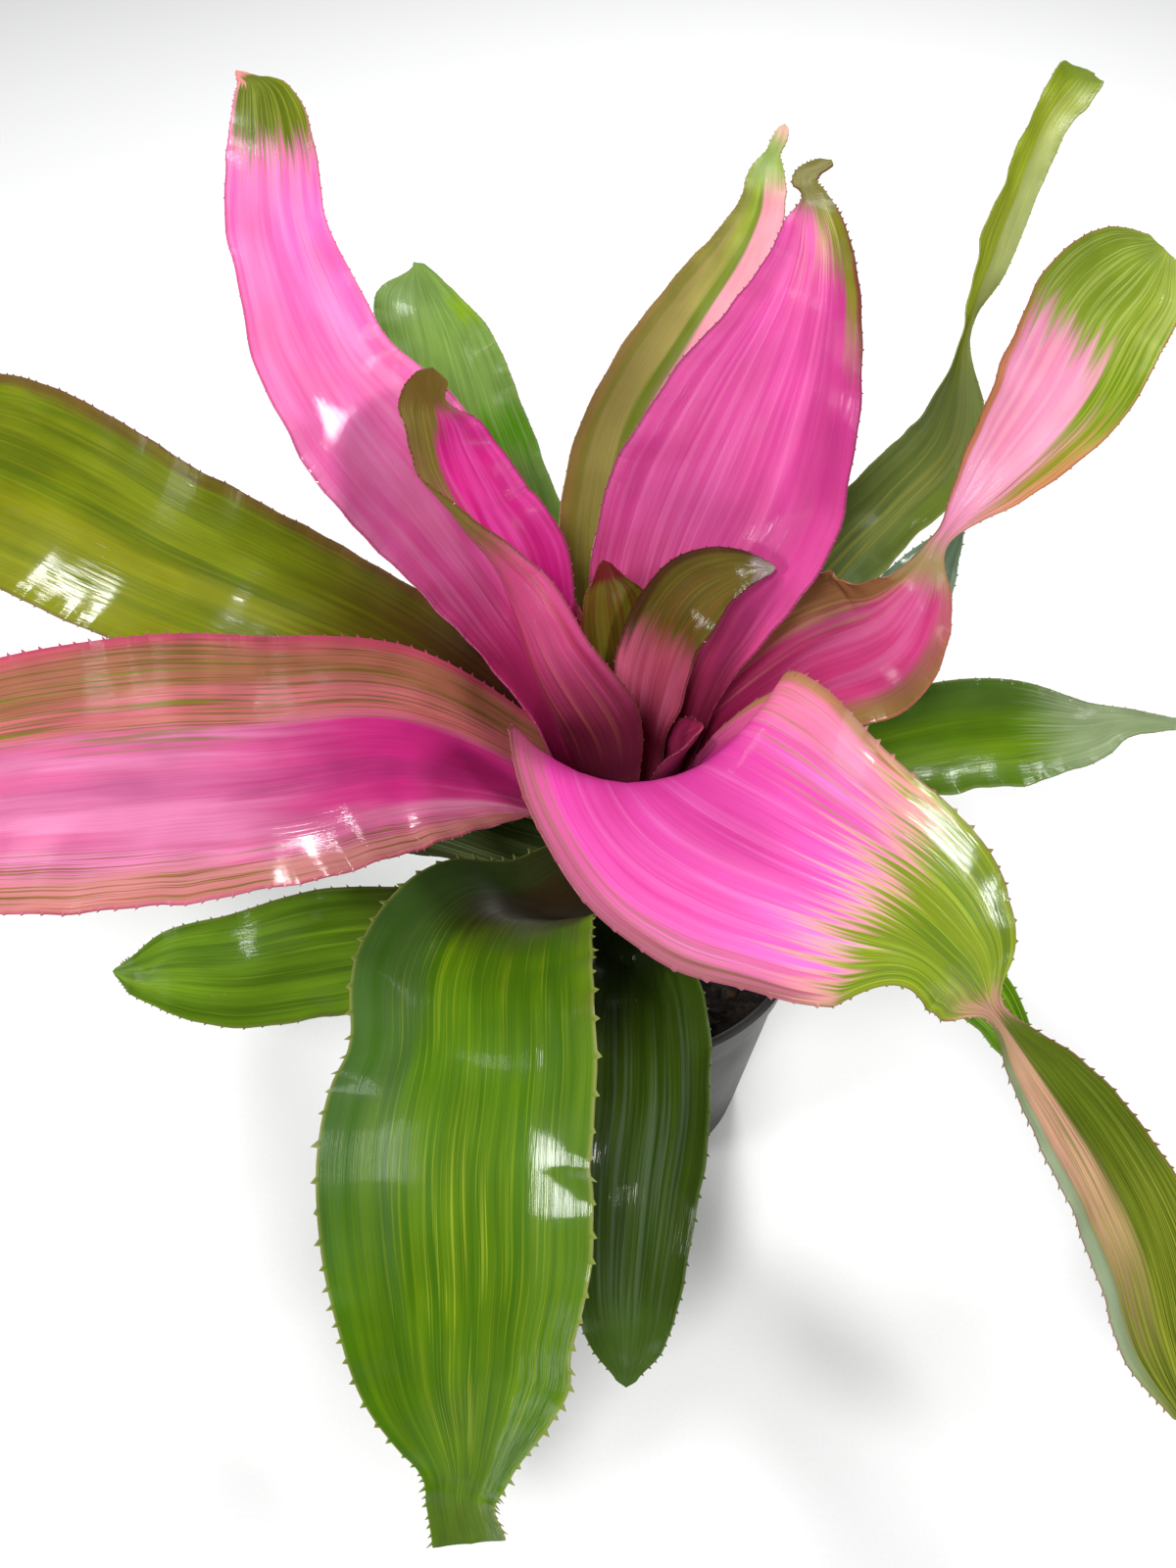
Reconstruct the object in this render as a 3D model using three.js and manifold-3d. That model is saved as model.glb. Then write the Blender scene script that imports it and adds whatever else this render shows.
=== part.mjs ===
// Potted bromeliad: a rosette of spiny strap leaves on a short stem, in a filled nursery pot.
// Millimetres, Z up. The origin is the centre of the pot's flat underside.
import * as THREE from "three";
import { mergeVertices } from "three/addons/utils/BufferGeometryUtils.js";
import Module from "manifold-3d";

const wasm = await Module();
wasm.setup();

// Driving dimensions
const seatGap = 0.3;           // left between two pieces that touch
const potHeight = 110;
const potRimRadius = 65.5;
const potRimDepth = 15;        // height of the thicker band under the rim
const potFootRadius = 48;
const potWall = 1.4;
const potFloor = 2;
const drainHoles = 6;
const drainRadius = 4;
const drainReach = 32;         // from the pot's axis to the middle of a drain hole
const soilTop = 93;            // height of the soil's surface
const stemTop = 168;
const stemTopRadius = 3.8;
const stemPlanted = 30;        // depth of the stem's foot in the soil
const stemTaper = 0.62;        // growth of the stem's radius from one leaf to the next lower one
const leafStep = 3.3;          // height between one leaf's base and the next lower one
const sheathFlare = 0.33;      // how fast a sheath opens, radius per height
const sheathWrap = 60;         // degrees that a sheath reaches round the stem to each side
const leafThick = 0.9;         // at the middle of a blade
const marginThick = 0.7;       // at its edges
const toothLong = 1.7;
const toothWide = 2.4;
const teethPerSide = 11;
const bladeRows = 16;          // stretches into which a blade's length is split
const roundSides = 48;         // of the pot and the soil

// Materials
const pinkLeaf = new THREE.MeshStandardMaterial({ color: 0xd23c8e, roughness: 0.3, metalness: 0 });
const greenLeaf = new THREE.MeshStandardMaterial({ color: 0x4c8a1e, roughness: 0.3, metalness: 0 });
const oliveLeaf = new THREE.MeshStandardMaterial({ color: 0x6b6a2a, roughness: 0.35, metalness: 0 });
const potPlastic = new THREE.MeshStandardMaterial({ color: 0x4a4a50, roughness: 0.45, metalness: 0 });
const darkSoil = new THREE.MeshStandardMaterial({ color: 0x1c1512, roughness: 0.95, metalness: 0 });
const stemSkin = new THREE.MeshStandardMaterial({ color: 0x8a8a58, roughness: 0.7, metalness: 0 });

// The leaves from the heart outwards. A leaf's place in this list sets how low on the stem it
// grows; its sheath rises by the height given, at the heading given. Each row of the path then
// holds: distance from the pot's axis, height, heading (0 right, 90 back, 180 left, 270 front),
// width of the blade, cup (half the angle it bends through across its width) and roll.
const leaves = [
  { name: "leaf_heart_right", skin: pinkLeaf, sheath: 16, heading: 76, tip: 3, path: [
    [11, 198, 66, 22, 60, 0], [14, 217, 62, 27, 48, 4], [20, 234, 56, 27, 36, 8],
    [28, 246, 47, 25, 30, 18], [37, 253, 35, 16, 28, 32], [45, 255, 27, 5, 28, 42]] },
  { name: "leaf_heart_small", skin: oliveLeaf, sheath: 16, heading: 96, tip: 3, path: [
    [15, 197, 102, 22, 60, 0], [20, 219, 106, 27, 50, 6], [25, 238, 109, 25, 42, 10],
    [29, 249, 109, 7, 30, 10]] },
  { name: "leaf_heart_left", skin: pinkLeaf, sheath: 18, heading: 190, tip: 4, path: [
    [18, 194, 198, 47, 100, 7], [25, 216, 195, 62, 105, 15], [34, 238, 175, 55, 105, 20],
    [42, 258, 162, 52, 100, 16], [54, 273, 156, 49, 56, 15], [67, 284, 149, 41, 38, 8],
    [76, 295, 145, 29, 32, 2], [83, 303, 141, 11, 30, 0]] },
  { name: "leaf_cup_front", skin: pinkLeaf, sheath: 16, heading: 346, tip: 2, path: [
    [15, 188, 342, 26, 66, 0], [18, 201, 342, 27, 58, 0], [22, 212, 342, 7, 40, 0]] },
  { name: "leaf_front_right_long", skin: pinkLeaf, sheath: 26, heading: 288, tip: 3, path: [
    [22, 194, 284, 54, 68, 0], [30, 212, 281, 102, 56, 0], [60, 213, 299, 108, 36, 8],
    [96, 206, 314, 78, 26, 12], [124, 197, 317, 48, 22, 20], [139, 188, 317, 7, 24, 30],
    [160, 175, 317, 22, 26, 34], [182, 158, 317, 30, 25, 34], [204, 138, 316, 34, 25, 32],
    [224, 116, 314, 31, 25, 30], [240, 97, 313, 12, 25, 26]] },
  { name: "leaf_back_right_broad", skin: pinkLeaf, sheath: 28, heading: 62, tip: 4, path: [
    [26, 208, 64, 54, 62, 0], [40, 238, 60, 72, 50, 4], [53, 266, 54, 78, 42, 12],
    [62, 296, 50, 62, 33, 18], [70, 318, 49, 42, 30, 22], [80, 332, 52, 26, 32, 20],
    [94, 339, 58, 18, 36, 14], [108, 340, 63, 8, 36, 8], [121, 340, 62, 5, 36, 5]] },
  { name: "leaf_right_twisted", skin: pinkLeaf, sheath: 26, heading: 8, tip: 3, path: [
    [30, 200, 10, 46, 60, 4], [56, 220, 11, 56, 44, 18], [78, 231, 10, 52, 34, 28],
    [90, 244, 13, 26, 30, 40], [99, 258, 18, 6, 30, 60], [121, 271, 23, 26, 28, 42],
    [149, 283, 28, 43, 26, 36], [176, 294, 33, 47, 25, 34], [199, 299, 35, 39, 25, 30],
    [222, 298, 37, 14, 25, 26]] },
  { name: "leaf_back_left_long", skin: pinkLeaf, sheath: 26, heading: 138, tip: 6, path: [
    [34, 202, 138, 44, 60, -5], [57, 227, 139, 42, 46, -18], [78, 254, 142, 48, 38, -28],
    [95, 279, 145, 53, 32, -30], [116, 300, 145, 47, 30, -20], [145, 320, 139, 34, 26, -8],
    [172, 334, 132, 30, 26, 0], [202, 339, 127, 25, 26, 0], [224, 336, 126, 8, 26, 0]] },
  { name: "leaf_left_pink", skin: pinkLeaf, sheath: 24, heading: 188, tip: 4, path: [
    [44, 188, 188, 54, 60, -6], [76, 212, 194, 72, 42, -20], [110, 226, 199, 80, 32, -24],
    [146, 232, 198, 84, 28, -25], [188, 230, 195, 78, 26, -23], [232, 215, 191, 62, 26, -22],
    [272, 186, 188, 6, 26, -22]] },
  { name: "leaf_back_striped", skin: greenLeaf, sheath: 26, heading: 92, tip: 6, path: [
    [46, 200, 93, 46, 58, -6], [66, 228, 92, 48, 44, -10], [84, 258, 88, 42, 34, -6],
    [98, 286, 79, 36, 30, 0], [110, 306, 73, 27, 28, 6], [122, 319, 71, 17, 28, 6],
    [140, 326, 72, 11, 28, 4], [176, 323, 73, 4, 28, 0]] },
  { name: "leaf_left_green", skin: greenLeaf, sheath: 20, heading: 154, tip: 4, path: [
    [48, 174, 153, 46, 58, -12], [84, 199, 155, 50, 42, -36], [120, 219, 160, 58, 32, -44],
    [160, 231, 161, 64, 26, -42], [210, 234, 158, 72, 25, -34], [258, 227, 155, 72, 25, -30],
    [302, 213, 153, 54, 25, -28], [338, 197, 152, 6, 25, -28]] },
  { name: "leaf_right_back_twisted", skin: greenLeaf, sheath: 20, heading: 50, tip: 4, path: [
    [54, 170, 50, 40, 58, 0], [85, 188, 50, 40, 42, 5], [113, 207, 48, 35, 34, 10],
    [132, 224, 45, 31, 30, 15], [147, 247, 42, 28, 30, 28], [158, 279, 45, 4, 30, 62],
    [175, 296, 47, 13, 30, 50], [198, 312, 49, 14, 30, 35], [225, 322, 51, 16, 30, 22],
    [255, 325, 52, 19, 30, 12], [276, 321, 53, 15, 30, 8]] },
  { name: "leaf_back_green", skin: greenLeaf, sheath: 18, heading: 114, tip: 3, path: [
    [56, 166, 114, 44, 58, 0], [90, 184, 114, 50, 44, -8], [124, 202, 114, 53, 34, -12],
    [152, 220, 114, 52, 28, -12], [180, 235, 113, 46, 25, -8], [206, 244, 112, 35, 25, 0],
    [234, 246, 111, 9, 25, 4]] },
  { name: "leaf_front_broad", skin: greenLeaf, sheath: 18, heading: 232, tip: 2, path: [
    [46, 156, 232, 46, 56, 4], [70, 180, 235, 62, 38, 12], [96, 191, 241, 72, 30, 12],
    [124, 193, 248, 76, 28, 8], [150, 181, 251, 79, 24, 3], [174, 160, 254, 73, 22, 0],
    [190, 137, 255, 57, 22, -4], [202, 113, 256, 28, 22, -8], [208, 101, 256, 20, 25, -8],
    [214, 90, 257, 22, 25, -8]] },
  { name: "leaf_right_dull", skin: greenLeaf, sheath: 14, heading: 28, tip: 3, path: [
    [56, 152, 28, 38, 56, 0], [92, 176, 31, 36, 40, 8], [124, 200, 35, 28, 32, 12],
    [150, 216, 38, 5, 25, 12]] },
  { name: "leaf_right_low", skin: greenLeaf, sheath: 12, heading: 14, tip: 6, path: [
    [52, 136, 19, 38, 55, 0], [92, 149, 22, 46, 40, 6], [122, 154, 20, 48, 33, 12],
    [148, 157, 17, 44, 28, 16], [170, 158, 15, 28, 25, 20], [190, 158, 15, 12, 25, 20],
    [212, 155, 14, 4, 25, 20]] },
  { name: "leaf_front_low", skin: greenLeaf, sheath: 12, heading: 274, tip: 4, path: [
    [40, 130, 274, 36, 56, 0], [66, 142, 273, 42, 42, 0], [96, 142, 272, 43, 34, 4],
    [122, 134, 270, 41, 28, 8], [145, 117, 269, 33, 25, 8], [157, 103, 269, 20, 25, 6],
    [164, 93, 269, 4, 25, 4]] },
  { name: "leaf_left_hidden", skin: greenLeaf, sheath: 12, heading: 172, tip: 3, path: [
    [48, 138, 174, 34, 55, 0], [84, 158, 178, 40, 38, 0], [120, 168, 183, 38, 28, 0],
    [148, 166, 187, 6, 25, 0]] },
  { name: "leaf_left_low", skin: greenLeaf, sheath: 10, heading: 208, tip: 3, path: [
    [48, 124, 208, 34, 55, -4], [84, 140, 207, 42, 40, -12], [112, 146, 205, 46, 34, -19],
    [136, 147, 203, 40, 28, -22], [157, 144, 199, 30, 25, -26], [171, 140, 197, 15, 25, -28],
    [178, 136, 195, 4, 25, -28]] },
  { name: "leaf_front_right_low", skin: greenLeaf, sheath: 10, heading: 352, tip: 3, path: [
    [50, 114, 350, 30, 55, 0], [82, 128, 345, 32, 40, 0], [110, 136, 338, 30, 30, 5],
    [130, 138, 333, 22, 26, 10], [145, 138, 328, 12, 25, 12], [158, 136, 325, 4, 25, 12]] },
  { name: "leaf_back_low_right", skin: greenLeaf, sheath: 10, heading: 70, tip: 3, path: [
    [52, 117, 70, 30, 55, 0], [88, 134, 70, 42, 38, 0], [126, 140, 70, 42, 28, 0],
    [160, 132, 70, 32, 25, 0], [188, 114, 70, 6, 25, 0]] },
  { name: "leaf_back_low_left", skin: greenLeaf, sheath: 10, heading: 136, tip: 3, path: [
    [52, 114, 135, 30, 55, 0], [88, 128, 134, 42, 38, 0], [124, 132, 132, 42, 28, 0],
    [156, 122, 131, 32, 25, 0], [182, 102, 130, 6, 25, 0]] },
];

// Where a margin swings in from its even line, or out where the depth is negative: the place from 0
// at the base to 1 at the tip, the margin (-1 or 1), the depth in mm, and the swing's half length.
const marginSwings = {
  leaf_front_right_long: [[0.47, -1, 13, 0.03], [0.29, -1, -6, 0.05]],
  leaf_back_left_long: [[0.86, 1, 3, 0.03], [0.95, -1, 4, 0.04]],
  leaf_back_green: [[0.955, 1, 4, 0.03], [0.955, -1, 4, 0.03]],
  leaf_back_right_broad: [[0.84, 1, 5, 0.06]],
  leaf_back_striped: [[0.93, 1, 1.5, 0.03], [0.93, -1, 2, 0.03]],
  leaf_front_broad: [[0.43, -1, 3.5, 0.04], [0.66, 1, 3, 0.03]],
};

const radians = (degrees) => (degrees * Math.PI) / 180;

// A value on the smooth line through a list, whose entries lie evenly from the base to the tip.
// The first stretch is straight.
function along(list, part) {
  const last = list.length - 1;
  const place = Math.min(Math.max(part, 0), 1) * last;
  const i = Math.min(Math.floor(place), last - 1);
  const f = place - i;
  const slope = (k) => {
    if (k <= 1) return list[1] - list[0];
    if (k === last) return list[k] - list[k - 1];
    return (list[k + 1] - list[k - 1]) / 2;
  };
  const rise = list[i + 1] - list[i];
  const start = slope(i);
  const end = slope(i + 1);
  return list[i] + f * (start + f * (3 * rise - 2 * start - end + f * (start + end - 2 * rise)));
}

// All rows of a leaf from its base on the stem: two for the sheath, then its path.
function leafLine(leaf, rank) {
  const baseHeight = stemTop - rank * leafStep;
  const stemHere = stemTopRadius + rank * stemTaper;
  const baseReach = 1.04 * stemHere + seatGap + leafThick / 2;
  const sheathReach = baseReach + leaf.sheath * sheathFlare;
  const wrap = radians(sheathWrap);
  const rows = [
    [baseReach, baseHeight, leaf.heading, 2 * wrap * baseReach, sheathWrap, 0],
    [sheathReach, baseHeight + leaf.sheath, leaf.heading, 2 * wrap * sheathReach, sheathWrap, 0],
    ...leaf.path,
  ];
  const column = (k) => rows.map((row) => row[k]);
  return {
    reach: column(0), height: column(1), heading: column(2),
    width: column(3), cup: column(4), roll: column(5),
    sheathEnd: 1 / (rows.length - 1),
    swings: marginSwings[leaf.name] ?? [],
  };
}

function linePoint(line, part) {
  const reach = along(line.reach, part);
  const turn = radians(along(line.heading, part));
  return new THREE.Vector3(reach * Math.cos(turn), reach * Math.sin(turn), along(line.height, part));
}

function lineLength(line) {
  const steps = 60;
  let long = 0;
  for (let i = 0; i < steps; i += 1) {
    long += linePoint(line, i / steps).distanceTo(linePoint(line, (i + 1) / steps));
  }
  return long;
}

// A point of the leaf's middle surface; side runs from -1 at one margin to 1 at the other. In the
// sheath the section lies level and bends round the stem's axis, so that sheaths nest.
function surfacePoint(line, part, side) {
  const here = linePoint(line, part);
  const forward = linePoint(line, part + 0.004).sub(linePoint(line, part - 0.004)).normalize();
  const turn = radians(along(line.heading, part));
  const outward = new THREE.Vector3(Math.cos(turn), Math.sin(turn), 0);
  const across = new THREE.Vector3(-Math.sin(turn), Math.cos(turn), 0);
  across.addScaledVector(forward, -across.dot(forward)).normalize();
  const inward = new THREE.Vector3().crossVectors(forward, across);
  const free = Math.min(Math.max(part / line.sheathEnd - 1, 0), 1);
  const facing = inward.multiplyScalar(free).addScaledVector(outward, free - 1).normalize();
  const roll = radians(along(line.roll, part));
  const rolledAcross = across.clone().multiplyScalar(Math.cos(roll));
  rolledAcross.addScaledVector(facing, Math.sin(roll));
  const rolledFacing = facing.clone().multiplyScalar(Math.cos(roll));
  rolledFacing.addScaledVector(across, -Math.sin(roll));
  const halfWidth = Math.max(along(line.width, part), 2) / 2;
  const freeBend = radians(Math.max(along(line.cup, part), 4)) / halfWidth;
  const bend = 1 / (free * freeBend + (1 - free) / Math.hypot(here.x, here.y));
  let place = halfWidth * side;
  for (const [at, margin, depth, length] of line.swings) {
    if (margin * side > 0) place -= depth * side * Math.exp(-(((part - at) / length) ** 2));
  }
  const angle = place / bend;
  return here.addScaledVector(rolledAcross, bend * Math.sin(angle))
    .addScaledVector(rolledFacing, bend * (1 - Math.cos(angle)));
}

// The upper and lower points of the blade at one place.
function bladePair(line, part, side) {
  const middle = surfacePoint(line, part, side);
  const lengthwise = surfacePoint(line, Math.min(part + 0.005, 1), side)
    .sub(surfacePoint(line, Math.max(part - 0.005, 0), side));
  const widthwise = surfacePoint(line, part, side + 0.05).sub(surfacePoint(line, part, side - 0.05));
  const normal = new THREE.Vector3().crossVectors(widthwise, lengthwise).normalize();
  const half = (leafThick + (marginThick - leafThick) * Math.abs(side)) / 2;
  return {
    top: middle.clone().addScaledVector(normal, half),
    bottom: middle.clone().addScaledVector(normal, -half),
    forward: lengthwise.normalize(),
    outward: widthwise.normalize().multiplyScalar(Math.sign(side)),
    middle,
  };
}

// One closed leaf with its marginal teeth and pointed end.
function leafGeometry(leaf, rank) {
  const line = leafLine(leaf, rank);
  const long = lineLength(line);
  const vertices = [];
  const faces = [];
  const keep = (point) => vertices.push(point.x, point.y, point.z) / 3 - 1;
  const store = (part, side) => {
    const pair = bladePair(line, part, side);
    return { part, pair, top: keep(pair.top), bottom: keep(pair.bottom) };
  };
  const rows = Array.from({ length: bladeRows + 1 }, (_, i) => i / bladeRows);
  const inner = [-0.5, 0, 0.5].map((side) => rows.map((part) => store(part, side)));
  const toothHalf = toothWide / 2 / long;
  const first = 1.6 * line.sheathEnd;
  const margin = (side) => {
    const places = [0, first * 0.5];
    const spread = (0.985 - first) / (teethPerSide - 1);
    for (let i = 0; i < teethPerSide; i += 1) {
      places.push(first + i * spread - toothHalf, first + i * spread + toothHalf);
    }
    places.push(1);
    return places.map((part) => store(part, side));
  };
  const left = margin(-1);
  const right = margin(1);
  const columns = [left, ...inner, right];

  // Both faces between two neighbouring columns, split alike.
  const bridge = (a, b) => {
    let i = 0;
    let j = 0;
    while (i < a.length - 1 || j < b.length - 1) {
      const stepA = j === b.length - 1 || (i < a.length - 1 && a[i + 1].part <= b[j + 1].part);
      const next = stepA ? a[i + 1] : b[j + 1];
      faces.push([a[i].top, b[j].top, next.top], [b[j].bottom, a[i].bottom, next.bottom]);
      if (stepA) i += 1;
      else j += 1;
    }
  };
  for (let c = 0; c < columns.length - 1; c += 1) bridge(columns[c], columns[c + 1]);

  // The margins, with a tooth on every second stretch.
  const rim = (column, flip) => {
    const push = (a, b, c) => faces.push(flip ? [a, c, b] : [a, b, c]);
    for (let i = 0; i < column.length - 1; i += 1) {
      const a = column[i];
      const b = column[i + 1];
      const toothed = i >= 2 && i % 2 === 0 && i < column.length - 2;
      if (!toothed) {
        push(a.top, b.top, b.bottom);
        push(a.top, b.bottom, a.bottom);
        continue;
      }
      const spine = a.pair.middle.clone().add(b.pair.middle).multiplyScalar(0.5);
      spine.addScaledVector(a.pair.outward, toothLong).addScaledVector(a.pair.forward, toothLong / 2);
      const point = keep(spine);
      push(a.top, b.top, point);
      push(b.top, b.bottom, point);
      push(b.bottom, a.bottom, point);
      push(a.bottom, a.top, point);
    }
  };
  rim(left, false);
  rim(right, true);

  // The cut base and the pointed end.
  for (let c = 0; c < columns.length - 1; c += 1) {
    const a = columns[c][0];
    const b = columns[c + 1][0];
    faces.push([a.top, a.bottom, b.bottom], [a.top, b.bottom, b.top]);
  }
  const ends = columns.map((column) => column[column.length - 1]);
  const middle = ends[2];
  const tip = keep(middle.pair.middle.clone().addScaledVector(middle.pair.forward, leaf.tip));
  for (let c = 0; c < ends.length - 1; c += 1) {
    faces.push([ends[c].top, ends[c + 1].top, tip], [ends[c + 1].bottom, ends[c].bottom, tip]);
  }
  faces.push([ends[0].bottom, ends[0].top, tip], [ends[4].top, ends[4].bottom, tip]);

  const geometry = new THREE.BufferGeometry();
  geometry.setAttribute("position", new THREE.Float32BufferAttribute(vertices, 3));
  geometry.setIndex(outsideOut(vertices, faces).flat());
  return geometry;
}

// Turns all faces over if they enclose a negative volume.
function outsideOut(vertices, faces) {
  const point = (i) => new THREE.Vector3(vertices[3 * i], vertices[3 * i + 1], vertices[3 * i + 2]);
  let volume = 0;
  for (const [a, b, c] of faces) {
    volume += point(a).dot(new THREE.Vector3().crossVectors(point(b), point(c)));
  }
  return volume > 0 ? faces : faces.map(([a, b, c]) => [a, c, b]);
}

function toSolid(geometry) {
  const plain = geometry.clone();
  plain.deleteAttribute("normal");
  plain.deleteAttribute("uv");
  const merged = mergeVertices(plain, 1e-4);
  const index = Uint32Array.from(merged.index.array);
  return new wasm.Manifold(new wasm.Mesh({
    numProp: 3, vertProperties: Float32Array.from(merged.attributes.position.array), triVerts: index,
  }));
}

function toGeometry(solid) {
  const mesh = solid.getMesh();
  const geometry = new THREE.BufferGeometry();
  geometry.setAttribute("position", new THREE.Float32BufferAttribute(mesh.vertProperties, 3));
  geometry.setIndex(Array.from(mesh.triVerts));
  return geometry;
}

function lathe(points, sides) {
  const geometry = new THREE.LatheGeometry(points.map(([r, z]) => new THREE.Vector2(r, z)), sides);
  geometry.rotateX(Math.PI / 2);
  return geometry;
}

// Radius of the pot's inner wall at a height.
const innerWall = (z) => potFootRadius - potWall + ((potRimRadius - 2.5 - potFootRadius) * z) / potHeight;

// A thin tapered plastic pot with a thicker band at the rim and drain holes through its floor.
function potGeometry() {
  const bandFoot = potHeight - potRimDepth;
  const wall = (z) => innerWall(z) + potWall;
  const outline = [
    [0, 0], [potFootRadius, 0], [wall(bandFoot), bandFoot], [wall(bandFoot) + 1.6, bandFoot + 0.8],
    [potRimRadius - 0.8, potHeight - 1], [potRimRadius - 1.2, potHeight], [innerWall(potHeight), potHeight],
    [innerWall(potFloor), potFloor], [0, potFloor],
  ];
  let pot = toSolid(lathe(outline, roundSides));
  for (let i = 0; i < drainHoles; i += 1) {
    const turn = radians(((i + 0.5) * 360) / drainHoles);
    const plug = new THREE.CylinderGeometry(drainRadius, drainRadius, 6, 12).rotateX(Math.PI / 2);
    plug.translate(drainReach * Math.cos(turn), drainReach * Math.sin(turn), 1);
    pot = pot.subtract(toSolid(plug));
  }
  return toGeometry(pot);
}

// Radius of the stem at a height.
function stemRadius(z) {
  return stemTopRadius + ((stemTop - z) / leafStep) * stemTaper;
}

// The potting mix: one block on the pot's floor with an open hole for the stem.
function soilGeometry() {
  const foot = potFloor + seatGap;
  const block = lathe([
    [0, foot], [innerWall(foot) - seatGap, foot], [innerWall(soilTop) - seatGap, soilTop], [0, soilTop],
  ], roundSides);
  const holeFoot = soilTop - stemPlanted - seatGap;
  const holeRadius = stemRadius(soilTop) + seatGap;
  const hole = lathe([
    [0, holeFoot], [holeRadius, holeFoot], [holeRadius, soilTop + 1], [0, soilTop + 1],
  ], 24);
  return toGeometry(toSolid(block).subtract(toSolid(hole)));
}

// The short stem that all leaves grow from, standing in the soil.
function stemGeometry() {
  const foot = soilTop - stemPlanted;
  const wide = stemRadius(soilTop);
  return lathe([
    [0, foot], [wide - 3, foot], [wide, foot + 6], [wide, soilTop],
    [stemTopRadius, stemTop], [0, stemTop + 3],
  ], 24);
}

const plant = new THREE.Group();
plant.name = "potted_bromeliad";

function addPiece(name, geometry, material) {
  const mesh = new THREE.Mesh(geometry, material);
  mesh.name = name;
  plant.add(mesh);
}

addPiece("pot", potGeometry(), potPlastic);
addPiece("soil", soilGeometry(), darkSoil);
addPiece("stem", stemGeometry(), stemSkin);
leaves.forEach((leaf, rank) => addPiece(leaf.name, leafGeometry(leaf, rank), leaf.skin));

export default plant;
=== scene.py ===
# Potted bromeliad: the finished plant and pot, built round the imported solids.
# The tables are in millimetres and degrees; everything placed in Blender is in metres.
import math
import random

import bmesh
import bpy
import numpy as np
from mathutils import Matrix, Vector, noise


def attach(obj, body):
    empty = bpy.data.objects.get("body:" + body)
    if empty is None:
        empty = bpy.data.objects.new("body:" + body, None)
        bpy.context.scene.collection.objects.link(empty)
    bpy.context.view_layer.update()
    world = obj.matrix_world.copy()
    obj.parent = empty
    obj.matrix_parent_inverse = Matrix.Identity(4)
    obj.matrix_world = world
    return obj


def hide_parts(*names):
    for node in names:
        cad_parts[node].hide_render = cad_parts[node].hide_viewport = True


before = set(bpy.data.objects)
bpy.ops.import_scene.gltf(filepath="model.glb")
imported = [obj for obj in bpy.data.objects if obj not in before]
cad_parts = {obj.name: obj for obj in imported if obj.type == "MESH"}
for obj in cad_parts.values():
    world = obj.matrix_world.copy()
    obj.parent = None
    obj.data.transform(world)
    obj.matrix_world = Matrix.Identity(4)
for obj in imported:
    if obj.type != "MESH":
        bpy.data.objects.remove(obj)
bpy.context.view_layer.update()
mm = 0.001


def hexLinear(code):
    channels = [int(code[i:i + 2], 16) / 255 for i in (1, 3, 5)]
    return [c / 12.92 if c <= 0.04045 else ((c + 0.055) / 1.055) ** 2.4 for c in channels] + [1.0]


def addNode(tree, kind, sockets=None, **settings):
    node = tree.nodes.new("ShaderNode" + kind)
    for key, value in settings.items():
        setattr(node, key, value)
    usable = [socket for socket in node.inputs if socket.enabled]
    for key, value in (sockets or {}).items():
        socket = usable[key] if isinstance(key, int) else next(s for s in usable if s.name == key)
        if isinstance(value, bpy.types.Node):
            value = next(s for s in value.outputs if s.enabled)
        if isinstance(value, bpy.types.NodeSocket):
            tree.links.new(value, socket)
        elif isinstance(value, str):
            socket.default_value = hexLinear(value)
        else:
            socket.default_value = value
    return node


def newMaterial(name):
    material = bpy.data.materials.new(name)
    material.use_nodes = True
    material.node_tree.nodes.clear()
    return material, material.node_tree


def addPiece(name, points, faces, materials, replaced, faceSlots=None, sharp=40):
    # points are in metres; the piece rides on the plant's one body
    mesh = bpy.data.meshes.new(name)
    mesh.from_pydata([tuple(p) for p in points], [], faces)
    for material in materials:
        mesh.materials.append(material)
    if faceSlots is not None:
        mesh.polygons.foreach_set("material_index", faceSlots)
    mesh.shade_smooth()
    mesh.set_sharp_from_angle(angle=math.radians(sharp))
    piece = bpy.data.objects.new(name, mesh)
    bpy.context.scene.collection.objects.link(piece)
    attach(piece, "root")
    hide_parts(replaced)
    return piece


plantForm = {
    "stemTop": 168, "stemTopRadius": 3.8,
    "stemTaper": 0.62,          # how much thicker the stem is at each lower leaf
    "leafStep": 3.3,            # down the stem from leaf to leaf
    "stemClear": 1.04, "seatGap": 0.3,
    "sheathFlare": 0.33, "sheathWrap": 60,
    "leafThick": 0.9, "marginThick": 0.7, "leastWidth": 2, "leastCup": 4,
}

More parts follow.
